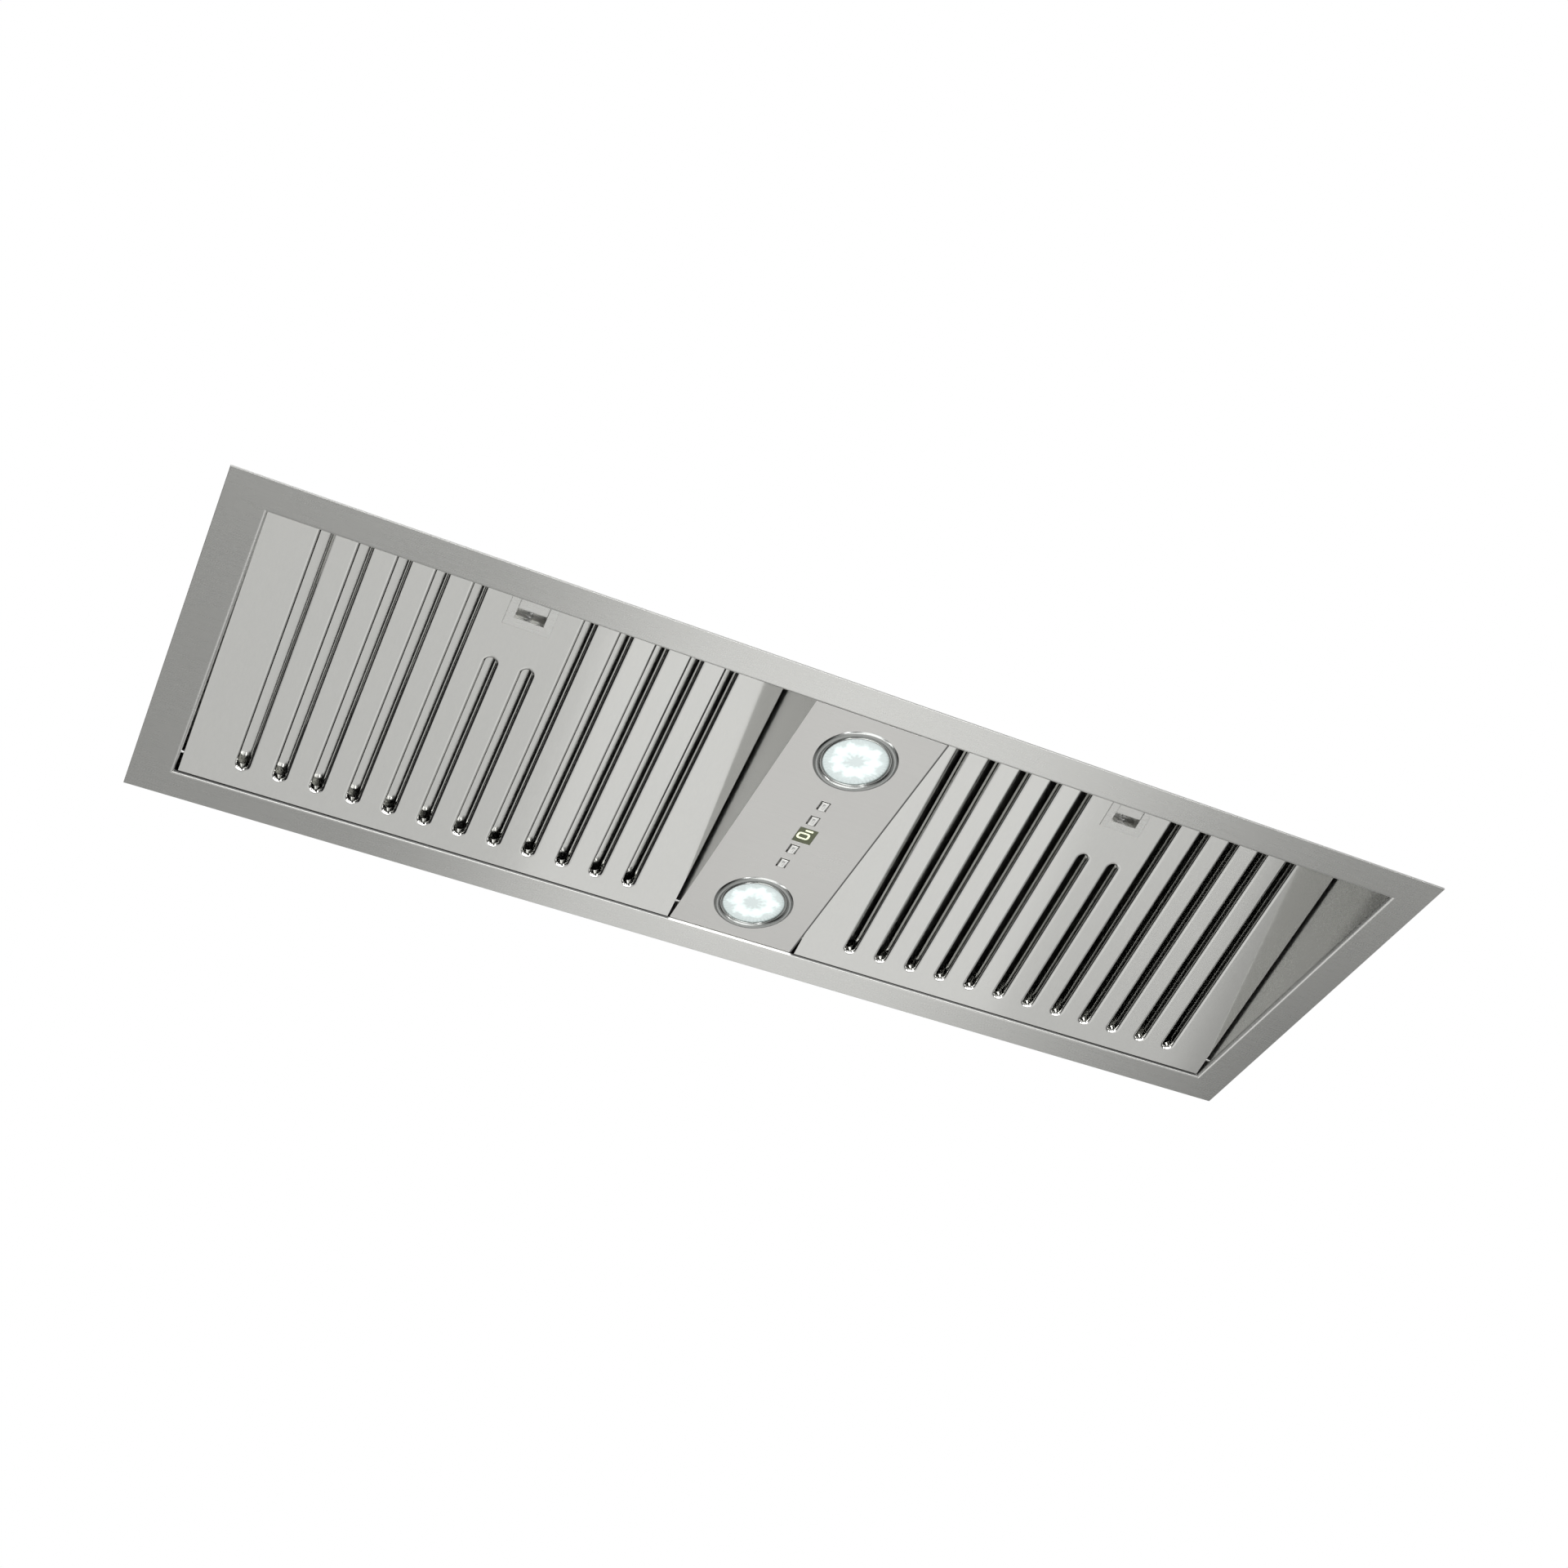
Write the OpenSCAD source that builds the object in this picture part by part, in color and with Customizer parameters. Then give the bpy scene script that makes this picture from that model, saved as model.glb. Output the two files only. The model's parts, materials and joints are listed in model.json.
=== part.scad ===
/* [Flange and canopy] */
// Length of the flange that shows under the cupboard
flange_l = 860; // [760:5:1000]
// Depth of the flange, front to back
flange_w = 290; // [284:1:310]
// Width of the flange at each end
end_border = 28; // [22:1:36]
// Width of the flange along the front and the back
long_border = 25; // [20:1:28]
// Thickness of the flange and skirt sheet
skin_t = 1.2; // [0.8:0.1:1.6]
// Radius of the bend from the flange up into the skirt
bend_r = 2.6; // [2:0.1:3.5]
// Room between the catch rails and the roof
canopy_room = 10.5; // [9:0.5:20]
// Width of the inward return at the top of the skirt
return_w = 11; // [9:0.5:14]
// Thickness of the roof sheet
roof_t = 1; // [0.8:0.1:1.5]
// Radius of the cabinet fixing holes in the end walls
fixing_r = 2.5; // [2:0.25:4]
// Distance between the two fixing holes of one end wall
fixing_pitch = 120; // [80:5:160]
// Distance of the fixing holes below the roof
fixing_drop = 14; // [13:0.5:18]

/* [Filters] */
// Slope of the filters, low at the back and high at the front
filter_slope = 15.5; // [14:0.25:16.5]
// Height of the filter's back edge above the flange's lower face
face_lift = 0.6; // [0.4:0.1:1.2]
// Gap between a filter's back edge and the skirt
back_gap = 1.6; // [1.4:0.1:2.4]
// Gap between a filter's side and the wall beside it
side_gap = 2; // [1.5:0.25:3]
// Thickness of the filter sheets
filter_t = 0.8; // [0.6:0.1:1]
// Height of the filter pan, both sheets included
pan_h = 12; // [11:0.5:13]
// Height of the low lip along the pan's back edge
back_lip_h = 3; // [2:0.5:3.5]
// Where the pan's side walls start, from the back edge
wall_start = 4.2; // [4:0.1:6]
// Where the back sheet starts, from the back edge
back_start = 8; // [7:0.5:9]
// Distance between neighbouring slots
slot_pitch = 25; // [22:0.5:32]
// Half width of a slot where its lip starts to roll in
slot_hw = 6; // [5:0.25:6.5]
// Radius of a slot's rolled lip
lip_roll = 2.5; // [2:0.1:3]
// Height of a slot's lip, the same on both sheets
lip_h = 6; // [5:0.25:6.4]
// Bare margin at the ends of the slots
slot_end_margin = 13; // [12:0.5:20]
// Least distance from a filter's side to a slot's middle
slot_side_margin = 20; // [15:1:24]
// Length of the slotless field round the latch
latch_field = 75; // [70:1:80]

/* [Filter pivots] */
// Distance of the pivot from the filter's back edge, along the slope
pivot_u = 14; // [13.5:0.25:16]
// Height of the pivot above the filter's face
pivot_w = 2.1; // [2.1:0.05:2.3]
// Radius of a pivot pin
pin_r = 1.25; // [1:0.05:1.3]
// How far a pin reaches past the wall that holds it
pin_past = 1.5; // [1:0.25:3]
// Length of the block that holds a pin, along the pin
pin_block_l = 7; // [5:0.5:10]
// Side of the block that holds a pin
pin_block_s = 8; // [6:0.5:9]

/* [Latches] */
// Travel of a latch
latch_travel = 8; // [6:0.5:8]
// Width of a latch's trim plate
latch_trim_w = 32; // [28:1:36]
// Width of the window round the pull tab
latch_window_w = 20; // [16:0.5:22]
// Length of the window round the pull tab
latch_window_l = 20; // [18:0.5:22]
// Distance from the filter's front edge to the window's back edge
latch_window_back = 44; // [42:0.5:46]
// Width of trim past the window at its back
latch_trim_edge = 6; // [5:0.5:8]
// Length of the trim plate along the slope
latch_trim_l = 44; // [42:0.5:46]
// How far the trim plate stands below the filter's face
latch_trim_t = 0.4; // [0.3:0.05:0.6]
// Wall of the latch housing
latch_wall = 1; // [0.8:0.1:1.2]
// Height of the latch housing behind the filter's face
latch_cup_h = 9.4; // [8.5:0.1:9.8]
// Thickness of the latch's slide plate
latch_slide_t = 1.6; // [1.2:0.1:1.8]
// Thickness of the bolt
bolt_t = 3; // [2.5:0.1:3.5]
// Width of the bolt
bolt_w = 12; // [8:0.5:14]
// Radius of the latch spring
spring_r = 2.2; // [1.8:0.1:2.4]
// Wire of the latch spring
spring_wire = 0.5; // [0.4:0.05:0.7]
// Depth of the catch rail, enough for an open filter's bolt to pass the skirt
rail_d = 15.2; // [14.5:0.1:18]
// Height of the catch rail
rail_h = 24; // [20:1:26]
// Thickness of the catch rail's sheet
rail_t = 1; // [0.8:0.1:1.2]
// How far the rail starts below the filter's front edge
rail_drop = 5; // [4:0.25:6]

/* [Console] */
// Width of the fascia between the filters
console_w = 96; // [90:1:110]
// How far the fascia sits above the flange's lower face
fascia_lift = 1.8; // [1.4:0.1:2.4]
// Thickness of the fascia and its cheeks
console_t = 1; // [0.8:0.1:1.2]
// Gap between the fascia's ends and the skirt
console_end_gap = 0.5; // [0.3:0.1:1]
// Width of the returns along the top of the cheeks
cheek_return_w = 12; // [10:0.5:16]

/* [Lamps] */
// Distance of each lamp's middle from the skirt beside it
lamp_inset = 40; // [36:1:44]
// Outer radius of the lamp bezel
bezel_r = 28.3; // [27:0.1:32]
// Radius of the glass that shows
glass_r = 21.8; // [18:0.1:22]
// Width of the lip under the glass
glass_lip = 1.2; // [0.8:0.1:1.5]
// Thickness of the lamp glass
glass_t = 2; // [1.5:0.1:3]
// Wall of the bezel's neck
neck_t = 1.2; // [0.8:0.1:1.6]
// Width of the bezel's rounded rim
bezel_w = 4.8; // [4.6:0.1:5]
// How far the rim stands below the fascia
bezel_proud = 1.3; // [0.8:0.1:1.4]
// Height of the bezel's neck above the fascia's lower face
bezel_neck_h = 8; // [7:0.5:10]
// Height of the lamp's heat sink
lamp_body_h = 26; // [20:1:40]
// Thickness of the board that carries the diodes
led_board_t = 1.6; // [1:0.1:2]
// Number of diodes on the ring
led_count = 12; // [8:1:16]
// Side of one diode
led_s = 3; // [2:0.25:3.5]
// Height of one diode
led_h = 0.8; // [0.6:0.1:1]
// Number of fins on the heat sink
fin_count = 16; // [10:1:20]
// Depth of the cuts between the fins
fin_depth = 4; // [3:0.25:6]
// Width of a lamp spring
leaf_w = 8; // [6:0.5:10]
// Thickness of a lamp spring
leaf_t = 0.5; // [0.4:0.05:0.8]
// Reach of a lamp spring from the heat sink
leaf_reach = 9; // [7:0.5:11]
// Height of a lamp spring's upper end above the fascia
leaf_top = 14; // [11:0.5:17]

/* [Controls] */
// Width of a button, across the fascia
button_w = 7; // [6:0.25:8]
// Distance between neighbouring buttons, as a share of a lamp's distance from the middle
button_pitch_share = 0.2; // [0.19:0.005:0.22]
// Length of a button, as a share of that pitch
button_l_share = 0.59; // [0.5:0.01:0.62]
// Length of the display window, as a share of that pitch
display_l_share = 0.94; // [0.8:0.01:0.96]
// How far a button stands below the fascia
button_proud = 0.8; // [0.4:0.1:1.2]
// Travel of a button
button_travel = 1.2; // [0.6:0.1:1.4]
// Width of the rim that keeps a button in
button_rim = 1; // [0.6:0.1:1.4]
// Thickness of that rim
button_rim_t = 0.9; // [0.6:0.1:1.2]
// Radius of a button's stem
stem_r = 1.5; // [1.2:0.1:1.8]
// Side of a key switch
key_s = 6; // [5:0.25:7]
// Height of a key switch
key_h = 3.5; // [3:0.1:4]
// Width of the display window
display_w = 13.5; // [11:0.5:16]
// Place of the display across the fascia
display_x = 1.8; // [0:0.1:3]
// Thickness of the display window behind the fascia
display_rim_t = 0.6; // [0.4:0.1:0.8]
// Width of the switch board
board_w = 40; // [36:1:60]
// Gap between the switch board and the lamp openings
board_gap = 9.6; // [8.5:0.1:12]
// Thickness of the circuit boards
board_t = 1.6; // [1:0.1:2]
// Height of the posts that carry the switch board
post_h = 8; // [7.5:0.1:8.5]
// Radius of those posts
post_r = 2; // [1.5:0.25:2.5]

/* [Motor box] */
// Length of the motor box
box_l = 340; // [320:2:380]
// How far the motor box stands in from the skirt, front and back
box_inset = 2; // [1:0.5:4]
// Height of the motor box above the roof
box_h = 185; // [180:1:220]
// Thickness of the motor box sheet
box_t = 1; // [0.8:0.1:1.5]
// Width of the flanges that hold the motor box down
box_flange_w = 14; // [12:0.5:15]
// Width of roof left between an intake opening and the motor box's end
intake_end = 12; // [10:0.5:20]
// Width of roof left between an intake opening and the skirt's return
intake_edge = 9; // [6:0.5:20]

/* [Blower] */
// Gap between the scroll housing and the motor box, front and back
scroll_room = 4; // [3.5:0.25:8]
// Length of the blower wheel
wheel_l = 96; // [80:1:98]
// Number of blades on the wheel
blade_count = 36; // [24:1:40]
// Radial depth of a blade
blade_d = 9.5; // [8:0.25:11]
// Thickness of a blade
blade_t = 0.8; // [0.6:0.05:1]
// How far a blade's tip leads its root, in degrees
blade_lead = 13; // [6:0.5:16]
// Thickness of the wheel's middle plate
wheel_plate_t = 1.6; // [1.2:0.1:2]
// Width of the wheel's end rings
wheel_ring_w = 5; // [4:0.25:6]
// Thickness of the wheel's end rings
wheel_ring_t = 2; // [1.5:0.1:2.5]
// Radius of the wheel's hub
hub_r = 9; // [7:0.25:11]
// Length of the wheel's hub past its plate
hub_l = 10; // [8:0.5:14]
// Gap between the wheel and the tongue of the scroll
scroll_gap = 5.5; // [5:0.25:6]
// Growth of the scroll's radius from tongue to outlet, as a share of the tongue's radius
scroll_growth_share = 0.458; // [0.42:0.002:0.47]
// Angle of the scroll's tongue above level
tongue_angle = 70; // [66:1:75]
// Gap between the wheel's end and the scroll's side
wheel_end_gap = 6; // [5:0.5:8]
// Wall of the scroll housing
scroll_t = 2; // [1.6:0.1:2.5]
// Gap under the scroll housing
scroll_foot = 7.6; // [6:0.2:9]
// How far the wheel reaches past the edge of the scroll's inlets
inlet_lap = 7; // [6:0.5:9]
// Radius of the inlet rings' flare
flare_r = 6; // [5:0.25:7]
// Width of the inlet rings' flange
inlet_flange_w = 7; // [6:0.5:7.5]
// Thickness of the inlet rings
inlet_t = 1.2; // [1:0.1:1.5]
// Gap between the motor and the inlet that it stands in
motor_gap = 14; // [12:0.5:17]
// Length of the motor
motor_l = 58; // [50:1:60]
// Radius of the motor shaft
shaft_r = 4; // [3:0.25:5]
// Width of a motor bracket arm
arm_w = 9; // [7:0.5:11]
// Thickness of the motor bracket
arm_t = 2; // [1.6:0.1:3]

/* [Outlet] */
// Outer radius of the duct collar
collar_r = 74.5; // [72:0.25:76]
// Wall of the duct collar
collar_t = 1; // [0.8:0.1:1.5]
// Height of the duct collar
collar_h = 46; // [42:1:60]
// Width of the collar's flange
collar_flange_w = 14; // [12:0.5:16]
// Thickness of the collar's flange
collar_flange_t = 1.5; // [1:0.1:2]
// Height of the flap rod above the collar's foot
rod_z = 11; // [10:0.5:14]
// Radius of the flap rod
rod_r = 2; // [1.5:0.1:2.5]
// Thickness of the flaps
flap_t = 1; // [0.8:0.1:1.2]
// Gap between the flaps and the collar
flap_gap = 1.5; // [1.2:0.1:2]
// Wall of the flaps' knuckles
knuckle_t = 1.2; // [1:0.1:1.4]
// Distance of a flap's edge from the middle of the rod
flap_edge = 4; // [3.8:0.1:5]
// Width of the ledge that the flaps close on
ledge_w = 3; // [2.5:0.25:4]

/* [Control box] */
// Length of the control box
tray_l = 150; // [140:2:170]
// Distance from the inner leads to the control box's outer face
lead_margin = 14; // [12.5:0.5:24]
// Height of the control box
tray_h = 54; // [50:1:70]
// Wall of the control box
tray_t = 1.5; // [1.2:0.1:2]
// Gap between the motor box flange and the control box
tray_gap = 6; // [4:0.5:10]
// Radius of the hole in the mains cable gland
gland_bore_r = 4; // [3:0.25:5]
// Outer radius of the mains cable gland
gland_r = 9; // [7.5:0.25:11]
// Length of the mains cable gland past the wall
gland_l = 16; // [12:0.5:20]
// Radius of the run capacitor
cap_r = 15; // [12:0.5:17]
// Length of the run capacitor
cap_l = 58; // [45:1:70]
// Radius of the inner leads
lead_r = 3; // [2.5:0.1:3.5]
// Bend radius of the inner leads
lead_bend = 13; // [10:0.5:15]

/* [Fasteners] */
// Radius of a screw's shank
screw_r = 1.7; // [1.4:0.05:2]
// Radius of a screw's head
screw_head_r = 3.6; // [3:0.1:4]
// Height of a screw's head
screw_head_h = 2.2; // [1.8:0.1:2.6]
// Length of a screw's shank
screw_l = 6; // [5:0.25:7]

/* [Hidden] */

// Small gaps and overruns
over = 1;
seat_gap = 0.15;
run_gap = 0.05;
slide_gap = 0.2;
swing_gap = 0.6;
wire_gap = 0.1;

// The opening inside the flange, and the two filter bays
half_l = flange_l / 2 - end_border;
half_w = flange_w / 2 - long_border;
bay_in = console_w / 2;
bay_c = (half_l + bay_in) / 2;
filter_w = half_l - bay_in - 2 * side_gap;

// The filter's plane: u runs up the slope from the back edge, w stands square to the face
slope_s = sin(filter_slope);
slope_c = cos(filter_slope);
filter_back_y = half_w - back_gap;
pivot_y = filter_back_y - pivot_u * slope_c + pivot_w * slope_s;
pivot_z = face_lift + pivot_u * slope_s + pivot_w * slope_c;
rail_z = face_lift + (2 * half_w - back_gap - rail_d) * slope_s / slope_c - rail_drop;
canopy_h = rail_z + rail_h + canopy_room;
roof_top = canopy_h + roof_t;
fixing_z = canopy_h - fixing_drop;
rail_reach = norm([pivot_y + half_w - rail_d, rail_z - pivot_z]);
filter_l = pivot_u + sqrt(pow(rail_reach - swing_gap, 2) - pow(pan_h - pivot_w, 2));
slot_side_count = floor((filter_w / 2 - slot_side_margin) / slot_pitch);
lip_in = slot_hw - lip_roll;

// The latch, in the filter's plane
window_u = filter_l - latch_window_back;
trim_u = window_u - latch_trim_edge;
cup_half = latch_window_w / 2 + 2 * latch_wall + slide_gap;
tab_u = window_u + latch_travel;
tab_l = latch_window_l - latch_travel - slide_gap;
slide_w0 = filter_t + slide_gap;
slide_w1 = slide_w0 + latch_slide_t;
bolt_tip_u = filter_l + latch_travel;
bolt_mid_w = slide_w1 + bolt_t / 2;
cup_back_u = trim_u + latch_trim_edge / 3;
cup_neck_u = trim_u + latch_trim_l - latch_trim_edge / 3;
cup_inner = cup_half - latch_wall;
spring_push_u = tab_u + tab_l;
latch_clear = latch_trim_w / 2 + slot_hw;

// Heights behind the fascia
fascia_top = fascia_lift + console_t;
cheek_top = canopy_h - skin_t - slide_gap;
board_z = fascia_top + post_h;
key_z = board_z - key_h;
rim_z = fascia_top + wire_gap;
stem_top = key_z + stem_r / 2;

// The lamps
neck_r = glass_r + glass_lip + neck_t;
lamp_hole_r = neck_r + slide_gap;
glass_z = fascia_lift + glass_lip / 2;
led_z = glass_z + glass_t + led_board_t;
sink_r = neck_r - neck_t;
lamp_y = half_w - lamp_inset;

// The controls between the lamps
button_pitch = lamp_y * button_pitch_share;
button_l = button_pitch * button_l_share;
display_l = button_pitch * display_l_share;
board_l = 2 * (lamp_y - lamp_hole_r - board_gap);

// The motor box, and the roof openings under it
box_w = 2 * (half_w - box_inset);
intake_l = box_l / 2 - bay_in - side_gap - intake_end;
intake_w = 2 * (half_w - return_w - intake_edge);

// The scroll fills the box front to back, with its outlet over the middle of the box
growth_rate = scroll_growth_share / (360 - tongue_angle);
scroll_reach = (1 + cos(tongue_angle) + scroll_growth_share) / 2 + 1 + growth_rate * (180 - tongue_angle);
tongue_r = (box_w / 2 - box_t - scroll_room - scroll_t) / scroll_reach;
scroll_growth = tongue_r * scroll_growth_share;
wheel_r = tongue_r - scroll_gap;
inlet_r = wheel_r - inlet_lap;
motor_r = inlet_r - motor_gap;
outlet_r = tongue_r + scroll_growth;
tongue_y = tongue_r * cos(tongue_angle);
outlet_d = outlet_r - tongue_y;
blower_y = -(outlet_r + tongue_y) / 2;
low_r = tongue_r * (1 + growth_rate * (270 - tongue_angle));
blower_z = roof_top + scroll_foot + scroll_t + low_r;
box_top = roof_top + box_h;
neck_top = box_top - box_t;
scroll_half = wheel_l / 2 + wheel_end_gap;
scroll_side = scroll_half + scroll_t;
motor_x1 = -wheel_plate_t / 2 - hub_l / 2;
motor_x0 = motor_x1 - motor_l;
arm_x = -scroll_side - inlet_t - flare_r;
arm_foot_r = inlet_r + inlet_flange_w + arm_w / 2;
neck_plate_s = 2 * (collar_r + collar_flange_w) - collar_t;
box_hole_r = collar_r - ledge_w;
collar_in = collar_r - collar_t;

// The control box beside the motor box
tray_x0 = box_l / 2 + box_flange_w + tray_gap;
tray_x1 = tray_x0 + tray_l;
tray_floor = roof_top + tray_t;
tray_post_h = 3 * tray_t;
main_board_z = tray_floor + tray_post_h;
gland_z = roof_top + tray_h / 2;
lead_y = outlet_d / 2 + scroll_t + 3 * lead_r;
tray_w = 2 * (lead_y + lead_margin);
lead_z = roof_top + lead_bend + lead_r;
lead_zs = [lead_z, lead_z + 4 * lead_r + 2 * box_t];
lead_hole_r = lead_r + wire_gap + box_t;

// Colours
steel = "#bdbdb8";
bright_steel = "#d2d2ce";
galvanised = "#9ea4a6";
dark_plastic = "#2b2d2f";
board_green = "#2f6b3c";
white_plastic = "#e6e6e0";
hub_brass = "#b08a5a";
lamp_white = "#f4fbff";
olive_lens = "#50583a";
lead_grey = "#3a3a3c";

// A block between two corners
module block(x0, x1, y0, y1, z0, z1) {
    translate([x0, y0, z0]) cube([x1 - x0, y1 - y0, z1 - z0]);
}

// A block centred across x and y
module pad(w, l, z0, z1) {
    translate([-w / 2, -l / 2, z0]) cube([w, l, z1 - z0]);
}

// A round bar between two heights
module bar(r, z0, z1) {
    translate([0, 0, z0]) cylinder(r = r, h = z1 - z0, $fn = 48);
}

// Turns a shape drawn along z so that it runs along x
module along_x() {
    rotate([90, 0, 90]) children();
}

function arc_pts(cx, cy, r, a0, a1, n) =
    [for (i = [0:n]) let (a = a0 + (a1 - a0) * i / n) [cx + r * cos(a), cy + r * sin(a)]];

// A pan head screw, head up, standing on z = 0
module screw() {
    bar(screw_head_r, 0, screw_head_h);
    bar(screw_r, -screw_l, over / 2);
}

// A straight run and its quarter bends for a lead that turns only at right angles
function unit(v) = v / norm(v);
function turned(x, y, z, o) =
    [[x[0], y[0], z[0], o[0]], [x[1], y[1], z[1], o[1]], [x[2], y[2], z[2], o[2]], [0, 0, 0, 1]];
function lead_cut(pts, i) = i == 0 || i == len(pts) - 1 ? 0 : lead_bend;
module lead(pts) {
    for (i = [0:len(pts) - 2]) {
        d = unit(pts[i + 1] - pts[i]);
        u = [d[2], d[0], d[1]];
        v = cross(d, u);
        a = pts[i] + d * lead_cut(pts, i);
        b = pts[i + 1] - d * lead_cut(pts, i + 1);
        multmatrix(turned(u, v, d, a)) cylinder(r = lead_r, h = norm(b - a), $fn = 24);
    }
    for (i = [1:len(pts) - 2]) {
        a = unit(pts[i] - pts[i - 1]);
        b = unit(pts[i + 1] - pts[i]);
        n = cross(a, b);
        c = pts[i] + (b - a) * lead_bend;
        multmatrix(turned(-b, a, n, c)) rotate_extrude(angle = 90, $fn = 48)
            translate([lead_bend, 0]) circle(r = lead_r, $fn = 24);
    }
}

// Flange, bend, skirt wall and top return in section, measured out from the opening
function frame_section(border) = concat(
    [[border, 0]],
    arc_pts(bend_r, bend_r, bend_r, 270, 180, 6),
    [[0, canopy_h - skin_t], [-return_w, canopy_h - skin_t], [-return_w, canopy_h], [skin_t, canopy_h]],
    arc_pts(bend_r, bend_r, bend_r - skin_t, 180, 270, 6),
    [[border, skin_t]]
);

// One mitred side of the frame: reach is the opening's half size square to it
module frame_side(reach, other, border, total) {
    inner = return_w + over;
    intersection() {
        translate([-total / 2, 0, 0]) along_x() translate([reach, 0]) linear_extrude(total)
            polygon(frame_section(border));
        translate([0, 0, -over]) linear_extrude(canopy_h + 2 * over) polygon([
            [-other - border - over, reach + border + over], [other + border + over, reach + border + over],
            [other - inner, reach - inner], [-other + inner, reach - inner]
        ]);
    }
}

module roof_screw_spots() {
    for (sx = [-1, 1]) for (sy = [-1, 1]) {
        translate([sx * (half_l - 2 * return_w), sy * (half_w - return_w / 2), 0]) children();
        translate([sx * bay_c, sy * (half_w - return_w / 2), 0]) children();
    }
    for (sy = [-1, 1]) translate([-half_l + return_w / 2, sy * fixing_pitch / 2, 0]) children();
    for (sy = [-1, 1]) translate([half_l - return_w / 2, sy * fixing_pitch / 2, 0]) children();
}

module cheek_screw_spots() {
    for (s = [-1, 1]) translate([s * (bay_in - cheek_return_w / 2), half_w - return_w - cheek_return_w, 0])
        children();
    for (s = [-1, 1]) translate([s * (bay_in - cheek_return_w / 2), -half_w + return_w + cheek_return_w, 0])
        children();
}

module face_frame() {
    color(steel) difference() {
        union() {
            for (a = [0, 180]) rotate(a) frame_side(half_w, half_l, long_border, flange_l);
            for (a = [90, 270]) rotate(a) frame_side(half_l, half_w, end_border, flange_w);
        }
        roof_screw_spots() bar(screw_r + run_gap, canopy_h - skin_t - over, canopy_h + over);
        for (s = [-1, 1]) translate([s * half_l, 0, 0]) {
            for (y = [-fixing_pitch / 2, fixing_pitch / 2]) translate([-2 * over, y, fixing_z])
                along_x() cylinder(r = fixing_r, h = 4 * over, $fn = 32);
            translate([-2 * over, pivot_y, pivot_z]) along_x()
                cylinder(r = pin_r + run_gap, h = 4 * over, $fn = 32);
        }
    }
}

module roof_plate() {
    color(galvanised) difference() {
        block(-half_l - skin_t, half_l + skin_t, -half_w - skin_t, half_w + skin_t, canopy_h, roof_top);
        for (s = [-1, 1]) translate([s * (bay_in + side_gap + intake_l / 2), 0, 0])
            pad(intake_l, intake_w, canopy_h - over, roof_top + over);
        roof_screw_spots() bar(screw_r + run_gap, canopy_h - over, roof_top + over);
        cheek_screw_spots() bar(screw_r + run_gap, canopy_h - over, roof_top + over);
        box_screw_spots() bar(screw_r + run_gap, canopy_h - over, roof_top + over);
        translate([0, lead_y, 0]) bar(lead_hole_r, canopy_h - over, roof_top + over);
    }
}

module button_spots() {
    for (i = [-2, -1, 1, 2]) translate([0, i * button_pitch, 0]) children();
}

module console_cover() {
    y1 = half_w - console_end_gap;
    y2 = half_w - return_w - console_end_gap;
    x1 = console_w / 2;
    color(steel) difference() {
        union() {
            block(-x1, x1, -y1, y1, fascia_lift, fascia_top);
            for (s = [0, 1]) mirror([s, 0, 0]) {
                block(x1 - console_t, x1, -y1, y1, fascia_lift, cheek_top);
                block(x1 - console_t, x1, -y2, y2, fascia_lift, canopy_h);
                block(x1 - cheek_return_w, x1, -y2, y2, canopy_h - console_t, canopy_h);
            }
            for (sx = [-1, 1]) for (sy = [-1, 1])
                translate([sx * (board_w / 2 - 2 * post_r), sy * (board_l / 2 - 2 * post_r), 0])
                    bar(post_r, fascia_lift + console_t / 2, board_z);
        }
        for (s = [-1, 1]) translate([0, s * lamp_y, 0])
            bar(lamp_hole_r, fascia_lift - over, fascia_top + over);
        button_spots() pad(button_w, button_l, fascia_lift - over, fascia_top + over);
        translate([display_x, 0, 0]) pad(display_w, display_l, fascia_lift - over, fascia_top + over);
        cheek_screw_spots() bar(screw_r + run_gap, canopy_h - console_t - over, canopy_h + over);
        for (s = [-1, 1]) translate([s * x1 - 2 * over, pivot_y, pivot_z])
            along_x() cylinder(r = pin_r + run_gap, h = 4 * over, $fn = 32);
    }
}

// Channel along the front wall with a slot that takes the bolt
module catch_rail() {
    half = filter_w / 2;
    y0 = -half_w;
    y1 = -half_w + rail_d;
    slot_h = bolt_t / slope_c + rail_t * slope_s / slope_c + swing_gap * 2;
    slot_u = (filter_back_y - y1 + rail_t / 2 + bolt_mid_w * slope_s) / slope_c;
    slot_z = face_lift + slot_u * slope_s + bolt_mid_w * slope_c;
    difference() {
        block(-half, half, y0, y1, rail_z, rail_z + rail_h);
        block(-half - over, half + over, y0 - over, y1 - rail_t, rail_z + rail_t, rail_z + rail_h - rail_t);
        block(-bolt_w / 2 - swing_gap, bolt_w / 2 + swing_gap, y1 - rail_t - over, y1 + over,
            slot_z - slot_h / 2, slot_z + slot_h / 2);
    }
}

module catch_rails() {
    color(steel) for (s = [-1, 1]) translate([s * bay_c, 0, 0]) catch_rail();
}

// Puts a shape drawn in the filter's plane in its place: y is u, z is w
module in_bay(side) {
    translate([side * bay_c, filter_back_y, face_lift]) rotate([-filter_slope, 0, 0]) rotate(180) children();
}

// A slot's rolled lip in section, x from the slot's middle and y from the sheet's outer face
lip_section = concat(
    arc_pts(slot_hw, lip_roll, lip_roll, 270, 180, 5),
    [[lip_in, lip_h], [lip_in + filter_t, lip_h]],
    arc_pts(slot_hw, lip_roll, lip_roll - filter_t, 180, 270, 5)
);

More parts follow.
